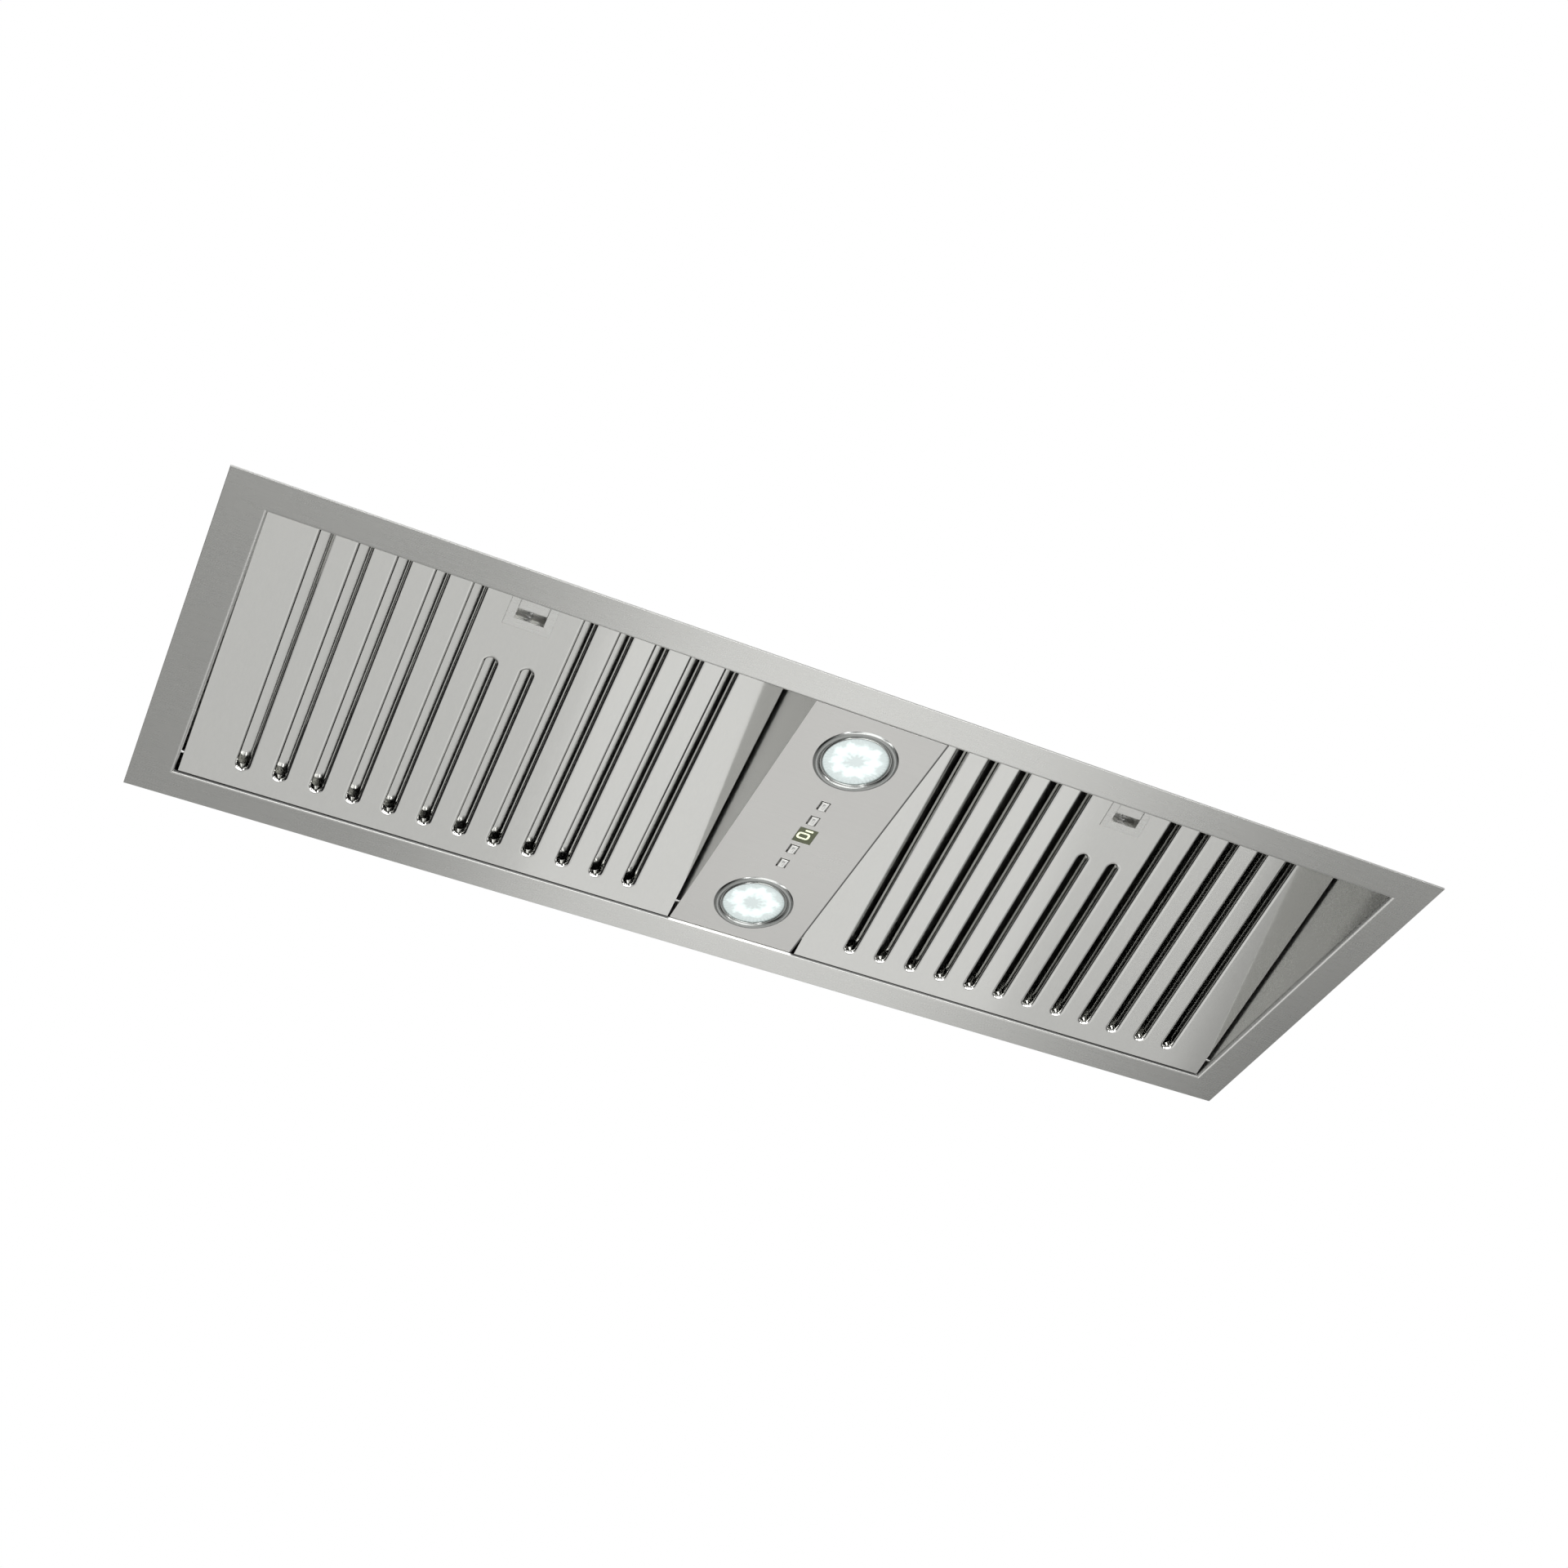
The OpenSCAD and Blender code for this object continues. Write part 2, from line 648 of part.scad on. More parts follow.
module slot_lip(u0, u1) {
    for (s = [0, 1]) mirror([s, 0, 0]) translate([0, u1, 0]) rotate([90, 0, 0]) linear_extrude(u1 - u0)
        polygon(lip_section);
    translate([0, u1, 0]) rotate_extrude(angle = 180, $fn = 48) polygon(lip_section);
    translate([0, u0, 0]) rotate(180) rotate_extrude(angle = 180, $fn = 48) polygon(lip_section);
}

module slot_cut(u0, u1) {
    block(-slot_hw, slot_hw, u0, u1, -over, filter_t + over);
    for (u = [u0, u1]) translate([0, u, 0]) bar(slot_hw, -over, filter_t + over);
}

function slot_u0() = slot_end_margin + slot_hw;
function slot_u1(x) = filter_l - (abs(x) < latch_clear ? latch_field : slot_end_margin) - slot_hw;

module filter_face() {
    half = filter_w / 2;
    slots = [for (i = [0:2 * slot_side_count - 1]) (i - slot_side_count + 0.5) * slot_pitch];
    color(bright_steel) difference() {
        union() {
            difference() {
                block(-half, half, 0, filter_l, 0, filter_t);
                for (x = slots) translate([x, 0, 0]) slot_cut(slot_u0(), slot_u1(x));
            }
            for (x = slots) translate([x, 0, 0]) slot_lip(slot_u0(), slot_u1(x));
            block(-half, half, 0, filter_t, 0, back_lip_h);
            block(-half, half, filter_l - filter_t, filter_l, 0, pan_h);
            for (s = [0, 1]) mirror([s, 0, 0]) {
                block(half - filter_t, half, wall_start, filter_l, 0, pan_h);
                block(half - pin_block_l, half, pivot_u - pin_block_s / 2 + over, pivot_u + pin_block_s / 2,
                    filter_t / 2, pivot_w + 2 * pin_r);
            }
        }
        for (s = [-1, 1]) translate([s * (half - pin_block_l / 2), pivot_u, pivot_w])
            rotate([0, 90, 0]) cylinder(r = pin_r, h = pin_block_l + 2 * over, center = true, $fn = 32);
        block(-cup_half - seat_gap, cup_half + seat_gap, cup_back_u - seat_gap, cup_neck_u,
            -over, filter_t + over);
        block(-bolt_w / 2 - slide_gap, bolt_w / 2 + slide_gap, filter_l - filter_t - over, filter_l + over,
            slide_w1 - slide_gap, slide_w1 + bolt_t + slide_gap);
    }
}

module filter_back() {
    half = filter_w / 2 - filter_t;
    slots = [for (i = [-slot_side_count:slot_side_count]) i * slot_pitch];
    color(steel) {
        difference() {
            block(-half, half, back_start, filter_l - filter_t, pan_h - filter_t, pan_h);
            for (x = slots) translate([x, 0, pan_h - filter_t])
                slot_cut(slot_u0() + slot_hw, slot_u1(x) - slot_hw);
        }
        for (x = slots) translate([x, 0, pan_h]) mirror([0, 0, 1])
            slot_lip(slot_u0() + slot_hw, slot_u1(x) - slot_hw);
        block(-half, half, back_start, back_start + filter_t, filter_t, pan_h);
    }
}

module pivot_pins() {
    half = filter_w / 2;
    color(bright_steel) for (s = [0, 1]) mirror([s, 0, 0])
        translate([half - pin_block_l + over, pivot_u, pivot_w]) rotate([0, 90, 0])
            cylinder(r = pin_r, h = pin_block_l - over + side_gap + skin_t + pin_past, $fn = 32);
}

module latch_housing() {
    cup_front_u = filter_l - filter_t;
    win = latch_window_w / 2;
    color(steel) difference() {
        union() {
            block(-latch_trim_w / 2, latch_trim_w / 2, trim_u, trim_u + latch_trim_l, -latch_trim_t, 0);
            block(-cup_half, cup_half, cup_back_u, cup_neck_u - seat_gap, -latch_trim_t, filter_t);
            block(-cup_half, cup_half, cup_back_u, cup_front_u, filter_t, latch_cup_h);
        }
        block(-win, win, window_u, window_u + latch_window_l, -over, filter_t + over);
        block(-cup_inner, cup_inner, cup_back_u + latch_wall, cup_front_u + over,
            filter_t, latch_cup_h - latch_wall);
    }
}

module latch() {
    plate_half = cup_inner - slide_gap;
    tab_half = latch_window_w / 2 - slide_gap;
    push_top = latch_cup_h - latch_wall - slide_gap;
    color(bright_steel) union() {
        block(-tab_half, tab_half, tab_u, tab_u + tab_l, -latch_trim_t / 2, slide_w1);
        block(-plate_half, plate_half, tab_u - over, spring_push_u + latch_window_l, slide_w0, slide_w1);
        block(-bolt_w / 2, bolt_w / 2, spring_push_u, bolt_tip_u, slide_w1, slide_w1 + bolt_t);
        block(-bolt_w / 4, bolt_w / 4, spring_push_u, spring_push_u + bolt_t, slide_w1, push_top);
    }
}

module latch_spring() {
    u0 = cup_back_u + latch_wall;
    w = slide_w1 + slide_gap + spring_r;
    color(bright_steel) translate([0, u0, w]) rotate([-90, 0, 0]) difference() {
        cylinder(r = spring_r, h = spring_push_u - u0, $fn = 24);
        translate([0, 0, -over])
            cylinder(r = spring_r - spring_wire, h = spring_push_u - u0 + 2 * over, $fn = 24);
    }
}

// Lamps, drawn round the lamp's own axis
module lamp_bezel() {
    lip_r = glass_lip / 2;
    rim = bezel_w / 2;
    crown_r = (rim * rim + bezel_proud * bezel_proud) / (2 * bezel_proud);
    crown_a = asin(rim / crown_r);
    crown_z = fascia_lift - bezel_proud + crown_r;
    neck_top_z = fascia_lift + bezel_neck_h;
    color(bright_steel) rotate_extrude($fn = 96) polygon(concat(
        [[glass_r, glass_z]],
        arc_pts(glass_r + lip_r, fascia_lift - slide_gap, lip_r, 180, 360, 8),
        [[glass_r + glass_lip, fascia_lift], [bezel_r - bezel_w, fascia_lift]],
        arc_pts(bezel_r - rim, crown_z, crown_r, 270 - crown_a, 270 + crown_a, 12),
        [[neck_r, fascia_lift], [neck_r, neck_top_z], [sink_r, neck_top_z], [sink_r, glass_z]]
    ));
}

module lamp_glass() {
    color(lamp_white) bar(neck_r - neck_t - run_gap, glass_z, glass_z + glass_t);
}

module lamp_leds() {
    ring_r = glass_r * 2 / 3;
    color(white_plastic) {
        bar(sink_r - run_gap, glass_z + glass_t + led_h, led_z + led_h);
        for (i = [0:led_count - 1]) rotate(i * 360 / led_count) translate([ring_r, 0, 0])
            pad(led_s, led_s, glass_z + glass_t, glass_z + glass_t + led_h + led_board_t / 2);
    }
}

module lamp_body() {
    z0 = led_z + led_h;
    color(galvanised) difference() {
        bar(sink_r - run_gap, z0, z0 + lamp_body_h);
        for (i = [0:fin_count - 1]) rotate(i * 360 / fin_count) translate([sink_r - fin_depth, 0, 0])
            block(0, fin_depth + over, -fin_depth / 4, fin_depth / 4,
                z0 + lamp_body_h / 3, z0 + lamp_body_h + over);
    }
}

module lamp_springs() {
    r0 = neck_r;
    zt = fascia_top + leaf_top;
    foot = leaf_reach / 3;
    leaf = [
        [r0, fascia_top], [r0 + leaf_t, fascia_top], [r0 + leaf_t, zt - leaf_t],
        [r0 + leaf_reach - foot, fascia_top + leaf_t + leaf_t], [r0 + leaf_reach, fascia_top + foot],
        [r0 + leaf_reach, fascia_top + foot + leaf_t],
        [r0 + leaf_reach - foot + leaf_t / 2, fascia_top + 3 * leaf_t], [r0 + leaf_t, zt], [r0, zt]
    ];
    color(bright_steel) for (y = [-lamp_y, lamp_y]) for (a = [0, 180])
        translate([0, y, 0]) rotate(a) translate([0, leaf_w / 2, 0]) rotate([90, 0, 0])
            linear_extrude(leaf_w) polygon(leaf);
}

module at_lamp(side) {
    translate([0, side * lamp_y, 0]) children();
}

module switch_board() {
    color(board_green) {
        pad(board_w, board_l, board_z, board_z + board_t);
        translate([0, lead_y, 0])
            pad(lead_bend, 3 * lead_r, board_z + board_t / 2, board_z + board_t + 2 * lead_r);
    }
}

module key_switches() {
    color(dark_plastic) button_spots() difference() {
        pad(key_s, key_s, key_z, board_z);
        bar(stem_r + wire_gap, key_z - over, stem_top + button_travel + slide_gap);
    }
}

module button_cap() {
    color(bright_steel) {
        pad(button_w - 2 * seat_gap, button_l - 2 * seat_gap,
            fascia_lift - button_proud, rim_z + button_rim_t / 2);
        pad(button_w + 2 * button_rim, button_l + 2 * button_rim, rim_z, rim_z + button_rim_t);
        bar(stem_r, rim_z + button_rim_t / 2, stem_top);
    }
}

module display_module() {
    color(dark_plastic) translate([display_x, 0, 0])
        pad(display_w - seat_gap, display_l - seat_gap, fascia_top + display_rim_t, board_z);
}

module display_window() {
    color(olive_lens) translate([display_x, 0, 0]) {
        pad(display_w - seat_gap, display_l - seat_gap, fascia_lift, fascia_top + display_rim_t);
        pad(display_w + button_rim, display_l + button_rim, fascia_top, fascia_top + display_rim_t);
    }
}

module box_screw_spots() {
    for (s = [-1, 1]) for (y = [-1, 0, 1])
        translate([s * (box_l / 2 + box_flange_w / 2), y * (box_w / 2 - box_flange_w), 0]) children();
}

module collar_screw_spots() {
    for (a = [45:90:315]) rotate(a) translate([collar_r + collar_flange_w / 2, 0, 0]) children();
}

module motor_box() {
    color(galvanised) difference() {
        union() {
            block(-box_l / 2, box_l / 2, -box_w / 2, box_w / 2, roof_top, box_top);
            block(-box_l / 2 - box_flange_w, box_l / 2 + box_flange_w, -box_w / 2, box_w / 2,
                roof_top, roof_top + box_t);
        }
        block(-box_l / 2 + box_t, box_l / 2 - box_t, -box_w / 2 + box_t, box_w / 2 - box_t,
            roof_top - over, box_top - box_t);
        bar(box_hole_r, box_top - box_t - over, box_top + over);
        box_screw_spots() bar(screw_r + run_gap, roof_top - over, roof_top + box_t + over);
        collar_screw_spots() bar(screw_r + run_gap, box_top - box_t - over, box_top + over);
        for (z = lead_zs) translate([box_l / 2 - 2 * over, lead_y, z])
            along_x() cylinder(r = lead_hole_r, h = 4 * over, $fn = 24);
    }
}

// The scroll's outline round the wheel's axis, with its neck up to the outlet
module scroll_outline(grow) {
    steps = 54;
    polygon([for (i = [0:steps])
        let (a = 360 * i / steps, r = tongue_r * (1 + growth_rate * max(0, a - tongue_angle)))
        (r + grow) * [cos(a), sin(a)]]);
    translate([tongue_y - grow, 0]) square([outlet_d + 2 * grow, neck_top - blower_z]);
}

module at_blower() {
    translate([0, blower_y, blower_z]) children();
}

module bracket_screw_spots() {
    for (a = [30:120:270]) rotate([a, 0, 0]) translate([-scroll_side, arm_foot_r, 0]) children();
}

module scroll_housing() {
    plate = neck_plate_s / 2;
    color(dark_plastic) difference() {
        union() {
            at_blower() translate([-scroll_side, 0, 0]) along_x() linear_extrude(2 * scroll_side)
                scroll_outline(scroll_t);
            block(-plate, plate, -plate, plate, neck_top - scroll_t, neck_top);
        }
        at_blower() translate([-scroll_half, 0, 0]) along_x() linear_extrude(2 * scroll_half)
            scroll_outline(0);
        block(-scroll_half, scroll_half, -outlet_d / 2, outlet_d / 2,
            neck_top - 2 * scroll_t, neck_top + over);
        at_blower() translate([-scroll_side - over, 0, 0]) along_x()
            cylinder(r = inlet_r + inlet_t + run_gap, h = 2 * scroll_side + 2 * over, $fn = 96);
        at_blower() bracket_screw_spots() translate([-over, 0, 0]) along_x()
            cylinder(r = screw_r + run_gap, h = scroll_t + 2 * over, $fn = 24);
        collar_screw_spots() bar(screw_r + run_gap, neck_top - scroll_t - over, neck_top + over);
    }
}

// A bell mouth in section: x is the radius, y the distance out from the scroll's side
module inlet_ring() {
    fr = flare_r;
    rotate_extrude($fn = 96) polygon(concat(
        [[inlet_r, -scroll_t]], arc_pts(inlet_r + fr, inlet_t, fr, 180, 110, 5),
        arc_pts(inlet_r + fr, inlet_t, fr - inlet_t, 110, 180, 5),
        [[inlet_r + inlet_t, inlet_t], [inlet_r + inlet_flange_w, inlet_t], [inlet_r + inlet_flange_w, 0],
            [inlet_r + inlet_t, 0], [inlet_r + inlet_t, -scroll_t]]
    ));
}

module inlet_rings() {
    color(dark_plastic) at_blower() for (s = [0, 1]) mirror([s, 0, 0])
        translate([scroll_side, 0, 0]) along_x() inlet_ring();
}

module blower_motor() {
    end_l = motor_l / 8;
    boss_r = shaft_r + 2 * arm_t;
    color(galvanised) at_blower() difference() {
        translate([motor_x0, 0, 0]) along_x() rotate_extrude($fn = 64) polygon([
            [0, 0], [motor_r - 5 * arm_t, 0], [motor_r - arm_t, end_l], [motor_r, end_l],
            [motor_r, motor_l - 2 * end_l], [motor_r - arm_t, motor_l - 2 * end_l],
            [motor_r - 3 * arm_t, motor_l - end_l], [boss_r, motor_l - end_l], [boss_r, motor_l], [0, motor_l]
        ]);
        translate([motor_x1 - motor_l / 2, 0, 0]) along_x()
            cylinder(r = shaft_r + run_gap, h = motor_l / 2 + over, $fn = 32);
    }
}

module motor_bracket() {
    r0 = arm_foot_r - arm_w / 2;
    r1 = arm_foot_r + arm_w / 2;
    half = arm_w / 2;
    color(galvanised) at_blower() difference() {
        union() {
            translate([arm_x - arm_t, 0, 0]) along_x() cylinder(r = motor_r + arm_t, h = arm_w, $fn = 64);
            for (a = [30:120:270]) rotate([a, 0, 0]) {
                block(arm_x - arm_t, arm_x, motor_r, r1, -half, half);
                block(arm_x - arm_t / 2, -scroll_side, r1 - arm_t, r1, -half, half);
                block(-scroll_side - arm_t, -scroll_side, r0, r1, -half, half);
            }
        }
        translate([arm_x - arm_t - over, 0, 0]) along_x()
            cylinder(r = motor_r, h = arm_w + 2 * over, $fn = 64);
        bracket_screw_spots() translate([-arm_t - over, 0, 0]) along_x()
            cylinder(r = screw_r + run_gap, h = arm_t + 2 * over, $fn = 24);
        bracket_screw_spots() translate([-arm_t - flare_r - inlet_t - over, 0, 0]) along_x()
            cylinder(r = screw_head_r + slide_gap, h = flare_r + inlet_t + over, $fn = 24);
    }
}

module motor_shaft() {
    x0 = motor_x1 - motor_l / 2 + run_gap + slide_gap;
    x1 = wheel_plate_t / 2 + hub_l + arm_t;
    color(bright_steel) at_blower() translate([x0, 0, 0]) along_x()
        cylinder(r = shaft_r, h = x1 - x0, $fn = 32);
}

module wheel_hub() {
    x0 = -wheel_plate_t / 2 - hub_l / 4;
    x1 = wheel_plate_t / 2 + hub_l;
    color(hub_brass) at_blower() difference() {
        union() {
            translate([x0, 0, 0]) along_x() cylinder(r = hub_r - arm_t, h = x1 - x0, $fn = 48);
            translate([wheel_plate_t / 2, 0, 0]) along_x() cylinder(r = hub_r + arm_t, h = arm_t, $fn = 48);
        }
        translate([x0 - over, 0, 0]) along_x() cylinder(r = shaft_r, h = x1 - x0 + 2 * over, $fn = 32);
    }
}

// One forward curved blade in section
function blade_pts() = let (n = 5, r0 = wheel_r - wheel_ring_w / 4 - blade_d) concat(
    [for (i = [0:n]) let (t = i / n, r = r0 + blade_d * t, a = blade_lead * t * t) [r * cos(a), r * sin(a)]],
    [for (i = [n:-1:0]) let (t = i / n, r = r0 + blade_d * t, a = blade_lead * t * t + blade_t / r * 180 / PI)
        [r * cos(a), r * sin(a)]]
);

module blower_wheel() {
    color(galvanised) at_blower() difference() {
        union() {
            translate([-wheel_plate_t / 2, 0, 0]) along_x()
                cylinder(r = wheel_r, h = wheel_plate_t, $fn = 96);
            for (s = [0, 1]) mirror([s, 0, 0])
                translate([wheel_l / 2 - wheel_ring_t, 0, 0]) along_x() difference() {
                    cylinder(r = wheel_r, h = wheel_ring_t, $fn = 96);
                    translate([0, 0, -over])
                        cylinder(r = wheel_r - wheel_ring_w, h = wheel_ring_t + 2 * over, $fn = 96);
                }
            for (i = [0:blade_count - 1]) rotate([i * 360 / blade_count, 0, 0])
                translate([-wheel_l / 2 + wheel_ring_t / 2, 0, 0]) along_x()
                    linear_extrude(wheel_l - wheel_ring_t) polygon(blade_pts());
        }
        translate([-hub_l, 0, 0]) along_x() cylinder(r = hub_r - arm_t, h = 2 * hub_l, $fn = 48);
    }
}

// Collar round the duct's axis, standing on the motor box
module outlet_collar() {
    ledge_z = rod_z - flap_t / 2 - slide_gap;
    foot_r = collar_r + collar_flange_w;
    color(galvanised) translate([0, 0, box_top]) difference() {
        union() {
            rotate_extrude($fn = 128) polygon([
                [box_hole_r, 0], [foot_r, 0], [foot_r, collar_flange_t], [collar_r, collar_flange_t],
                [collar_r, collar_h], [collar_in, collar_h], [collar_in, ledge_z],
                [collar_in - ledge_w, ledge_z], [collar_in - ledge_w, ledge_z - collar_t],
                [collar_in, ledge_z - collar_t], [collar_in, collar_flange_t], [box_hole_r, collar_flange_t]
            ]);
            for (s = [0, 1]) mirror([s, 0, 0]) translate([collar_in - ledge_w - rod_r, 0, rod_z])
                along_x() cylinder(r = rod_r + knuckle_t, h = ledge_w + rod_r + collar_t / 2, $fn = 32);
        }
        translate([-collar_in + collar_t, 0, rod_z]) along_x()
            cylinder(r = rod_r + run_gap, h = 2 * (collar_in - collar_t), $fn = 32);
        collar_screw_spots() bar(screw_r + run_gap, -over, collar_flange_t + over);
    }
}

module flap_rod() {
    color(bright_steel) translate([-collar_in + collar_t, 0, box_top + rod_z]) along_x()
        cylinder(r = rod_r, h = 2 * (collar_in - collar_t), $fn = 32);
}

// A half round flap on its knuckles; the second flap's knuckles fill the gaps of the first
module flap(shift) {
    r = collar_in - flap_gap;
    pitch = collar_in / 4;
    len = pitch / 2 - run_gap * 2;
    translate([0, 0, box_top + rod_z]) difference() {
        union() {
            intersection() {
                bar(r, -flap_t / 2, flap_t / 2);
                block(-r, r, flap_edge, r, -flap_t, flap_t);
            }
            for (i = [-2:1]) translate([(i + shift) * pitch, 0, 0]) {
                along_x() cylinder(r = rod_r + knuckle_t, h = len, $fn = 32);
                block(0, len, 0, flap_edge + over, -flap_t / 2, flap_t / 2);
            }
        }
        translate([-r, 0, 0]) along_x() cylinder(r = rod_r + run_gap, h = 2 * r, $fn = 32);
        for (s = [-1, 1]) translate([s * (collar_in - ledge_w), 0, 0])
            pad(2 * ledge_w + 4 * rod_r, 4 * (rod_r + knuckle_t), -2 * flap_t, 2 * flap_t);
    }
}

module rear_flap() {
    color(galvanised) flap(0.25);
}

module front_flap() {
    color(galvanised) mirror([0, 1, 0]) flap(0.75);
}

module control_tray() {
    color(galvanised) difference() {
        block(tray_x0, tray_x1, -tray_w / 2, tray_w / 2, roof_top, roof_top + tray_h);
        block(tray_x0 + tray_t, tray_x1 - tray_t, -tray_w / 2 + tray_t, tray_w / 2 - tray_t,
            tray_floor, roof_top + tray_h + over);
        translate([tray_x1 - tray_t - over, 0, gland_z]) along_x()
            cylinder(r = gland_r - tray_t, h = tray_t + 2 * over, $fn = 48);
        for (z = lead_zs) translate([tray_x0 - over, lead_y, z]) along_x()
            cylinder(r = lead_hole_r, h = tray_t + 2 * over, $fn = 24);
    }
    color(galvanised) for (x = [tray_x0 + 4 * tray_t, tray_x1 - 4 * tray_t]) for (s = [-1, 1])
        translate([x, s * (tray_w / 2 - 5 * tray_t), 0])
            bar(2 * tray_t, tray_floor - tray_t / 2, main_board_z);
}

module control_lid() {
    z = roof_top + tray_h;
    color(galvanised) difference() {
        block(tray_x0 - tray_t, tray_x1 + tray_t, -tray_w / 2 - tray_t, tray_w / 2 + tray_t,
            z - 4 * tray_t, z + tray_t);
        block(tray_x0, tray_x1, -tray_w / 2, tray_w / 2, z - 4 * tray_t - over, z);
    }
}

module control_board() {
    x0 = tray_x0 + 2 * tray_t;
    x1 = tray_x1 - 2 * tray_t;
    y = tray_w / 2 - 2 * tray_t;
    z1 = main_board_z + board_t;
    core = tray_w / 5;
    color(board_green) {
        block(x0, x1, -y, y, main_board_z, z1);
        translate([x0 + core, -y + core, 0]) pad(core, core, z1 - board_t / 2, z1 + core);
        for (i = [0:3]) translate([x0 + 2 * core + i * core / 2, -y + core / 2, 0])
            pad(core / 3, core / 2, z1 - board_t / 2, z1 + core / 2);
    }
}

module run_capacitor() {
    x0 = tray_x0 + tray_l / 4;
    z = main_board_z + board_t + cap_r;
    color(white_plastic) translate([x0, 0, z]) along_x() {
        cylinder(r = cap_r, h = cap_l, $fn = 48);
        translate([0, 0, cap_l - over]) cylinder(r = cap_r * 2 / 3, h = 3 * over, $fn = 48);
    }
}

module terminal_block() {
    w = tray_w / 10;
    z0 = main_board_z + board_t;
    x1 = tray_x1 - 3 * tray_t;
    y1 = tray_w / 2 - 3 * tray_t;
    color(white_plastic) for (i = [0:2]) translate([0, y1 - i * w, 0]) difference() {
        block(x1 - 2 * w, x1, seat_gap - w, 0, z0, z0 + 2 * w);
        translate([x1 - w, -w / 2, 0]) bar(screw_r, z0 + w, z0 + 2 * w + over);
    }
}

module cable_gland() {
    r_in = gland_r - tray_t;
    color(dark_plastic) translate([tray_x1, 0, gland_z]) along_x() difference() {
        union() {
            cylinder(r = gland_r + tray_t, h = gland_l / 3, $fn = 6);
            cylinder(r = gland_r - tray_t / 2, h = gland_l, $fn = 48);
            translate([0, 0, -3 * tray_t]) cylinder(r = r_in - run_gap, h = gland_l, $fn = 48);
            translate([0, 0, -3 * tray_t]) cylinder(r = gland_r + tray_t, h = 2 * tray_t, $fn = 6);
        }
        translate([0, 0, -3 * tray_t - over]) cylinder(r = gland_bore_r, h = gland_l * 2, $fn = 48);
    }
}

module lead_grommet(wall) {
    lip = 2 * box_t;
    difference() {
        union() {
            bar(lead_hole_r + lip, -wall - lip / 2, -wall);
            bar(lead_hole_r - run_gap, -wall - lip / 2, lip / 2);
            bar(lead_hole_r + lip, 0, lip / 2);
        }
        bar(lead_r + run_gap, -wall - lip, lip);
    }
}

module lead_grommets() {
    color(dark_plastic) {
        translate([0, lead_y, roof_top]) lead_grommet(roof_t);
        for (z = lead_zs) {
            translate([box_l / 2, lead_y, z]) along_x() lead_grommet(box_t);
            translate([tray_x0 + tray_t, lead_y, z]) along_x() lead_grommet(tray_t);
        }
    }
}

module lamp_lead() {
    color(lead_grey) lead([
        [0, lead_y, board_z + board_t + 2 * lead_r],
        [0, lead_y, lead_z],
        [tray_x0 + 6 * tray_t, lead_y, lead_z]
    ]);
}

module motor_lead() {
    x0 = motor_x0;
    color(lead_grey) lead([
        [x0, blower_y, blower_z],
        [x0 - 2 * lead_bend, blower_y, blower_z],
        [x0 - 2 * lead_bend, blower_y, lead_zs[1]],
        [x0 - 2 * lead_bend, lead_y, lead_zs[1]],
        [tray_x0 + 6 * tray_t, lead_y, lead_zs[1]]
    ]);
}

module roof_screws() {
    color(bright_steel) translate([0, 0, roof_top]) {
        roof_screw_spots() screw();
        cheek_screw_spots() screw();
    }
}

module box_screws() {
    color(bright_steel) translate([0, 0, roof_top + box_t]) box_screw_spots() screw();
}

module collar_screws() {
    color(bright_steel) translate([0, 0, box_top + collar_flange_t]) collar_screw_spots() screw();
}

module bracket_screws() {
    color(bright_steel) at_blower() bracket_screw_spots()
        translate([-arm_t, 0, 0]) rotate([0, -90, 0]) screw();
}

face_frame();
roof_plate();
console_cover();
catch_rails();
motor_box();
scroll_housing();
inlet_rings();
blower_motor();
motor_bracket();
motor_shaft();
wheel_hub();
blower_wheel();
outlet_collar();
flap_rod();
front_flap();
rear_flap();
control_tray();
control_lid();
control_board();
run_capacitor();
terminal_block();
cable_gland();
lead_grommets();
lamp_lead();
motor_lead();
at_lamp(-1) lamp_bezel();  // front_lamp_bezel
at_lamp(-1) lamp_glass();  // front_lamp_glass
at_lamp(-1) lamp_leds();  // front_lamp_leds
at_lamp(-1) lamp_body();  // front_lamp_body
at_lamp(1) lamp_bezel();  // rear_lamp_bezel
at_lamp(1) lamp_glass();  // rear_lamp_glass
at_lamp(1) lamp_leds();  // rear_lamp_leds
at_lamp(1) lamp_body();  // rear_lamp_body
lamp_springs();
switch_board();
key_switches();
display_module();
display_window();
translate([0, -2 * button_pitch, 0]) button_cap();  // power_button
translate([0, -button_pitch, 0]) button_cap();  // slower_button
translate([0, button_pitch, 0]) button_cap();  // faster_button
translate([0, 2 * button_pitch, 0]) button_cap();  // light_button
in_bay(-1) filter_face();  // left_filter_face
in_bay(-1) filter_back();  // left_filter_back
in_bay(-1) pivot_pins();  // left_pivot_pins
in_bay(-1) latch_housing();  // left_latch_housing
in_bay(-1) latch();  // left_latch
in_bay(-1) latch_spring();  // left_latch_spring
in_bay(1) filter_face();  // right_filter_face
in_bay(1) filter_back();  // right_filter_back
in_bay(1) pivot_pins();  // right_pivot_pins
in_bay(1) latch_housing();  // right_latch_housing
in_bay(1) latch();  // right_latch
in_bay(1) latch_spring();  // right_latch_spring
roof_screws();
box_screws();
collar_screws();
bracket_screws();
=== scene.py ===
import bpy
import json
import math
from mathutils import Matrix, Vector


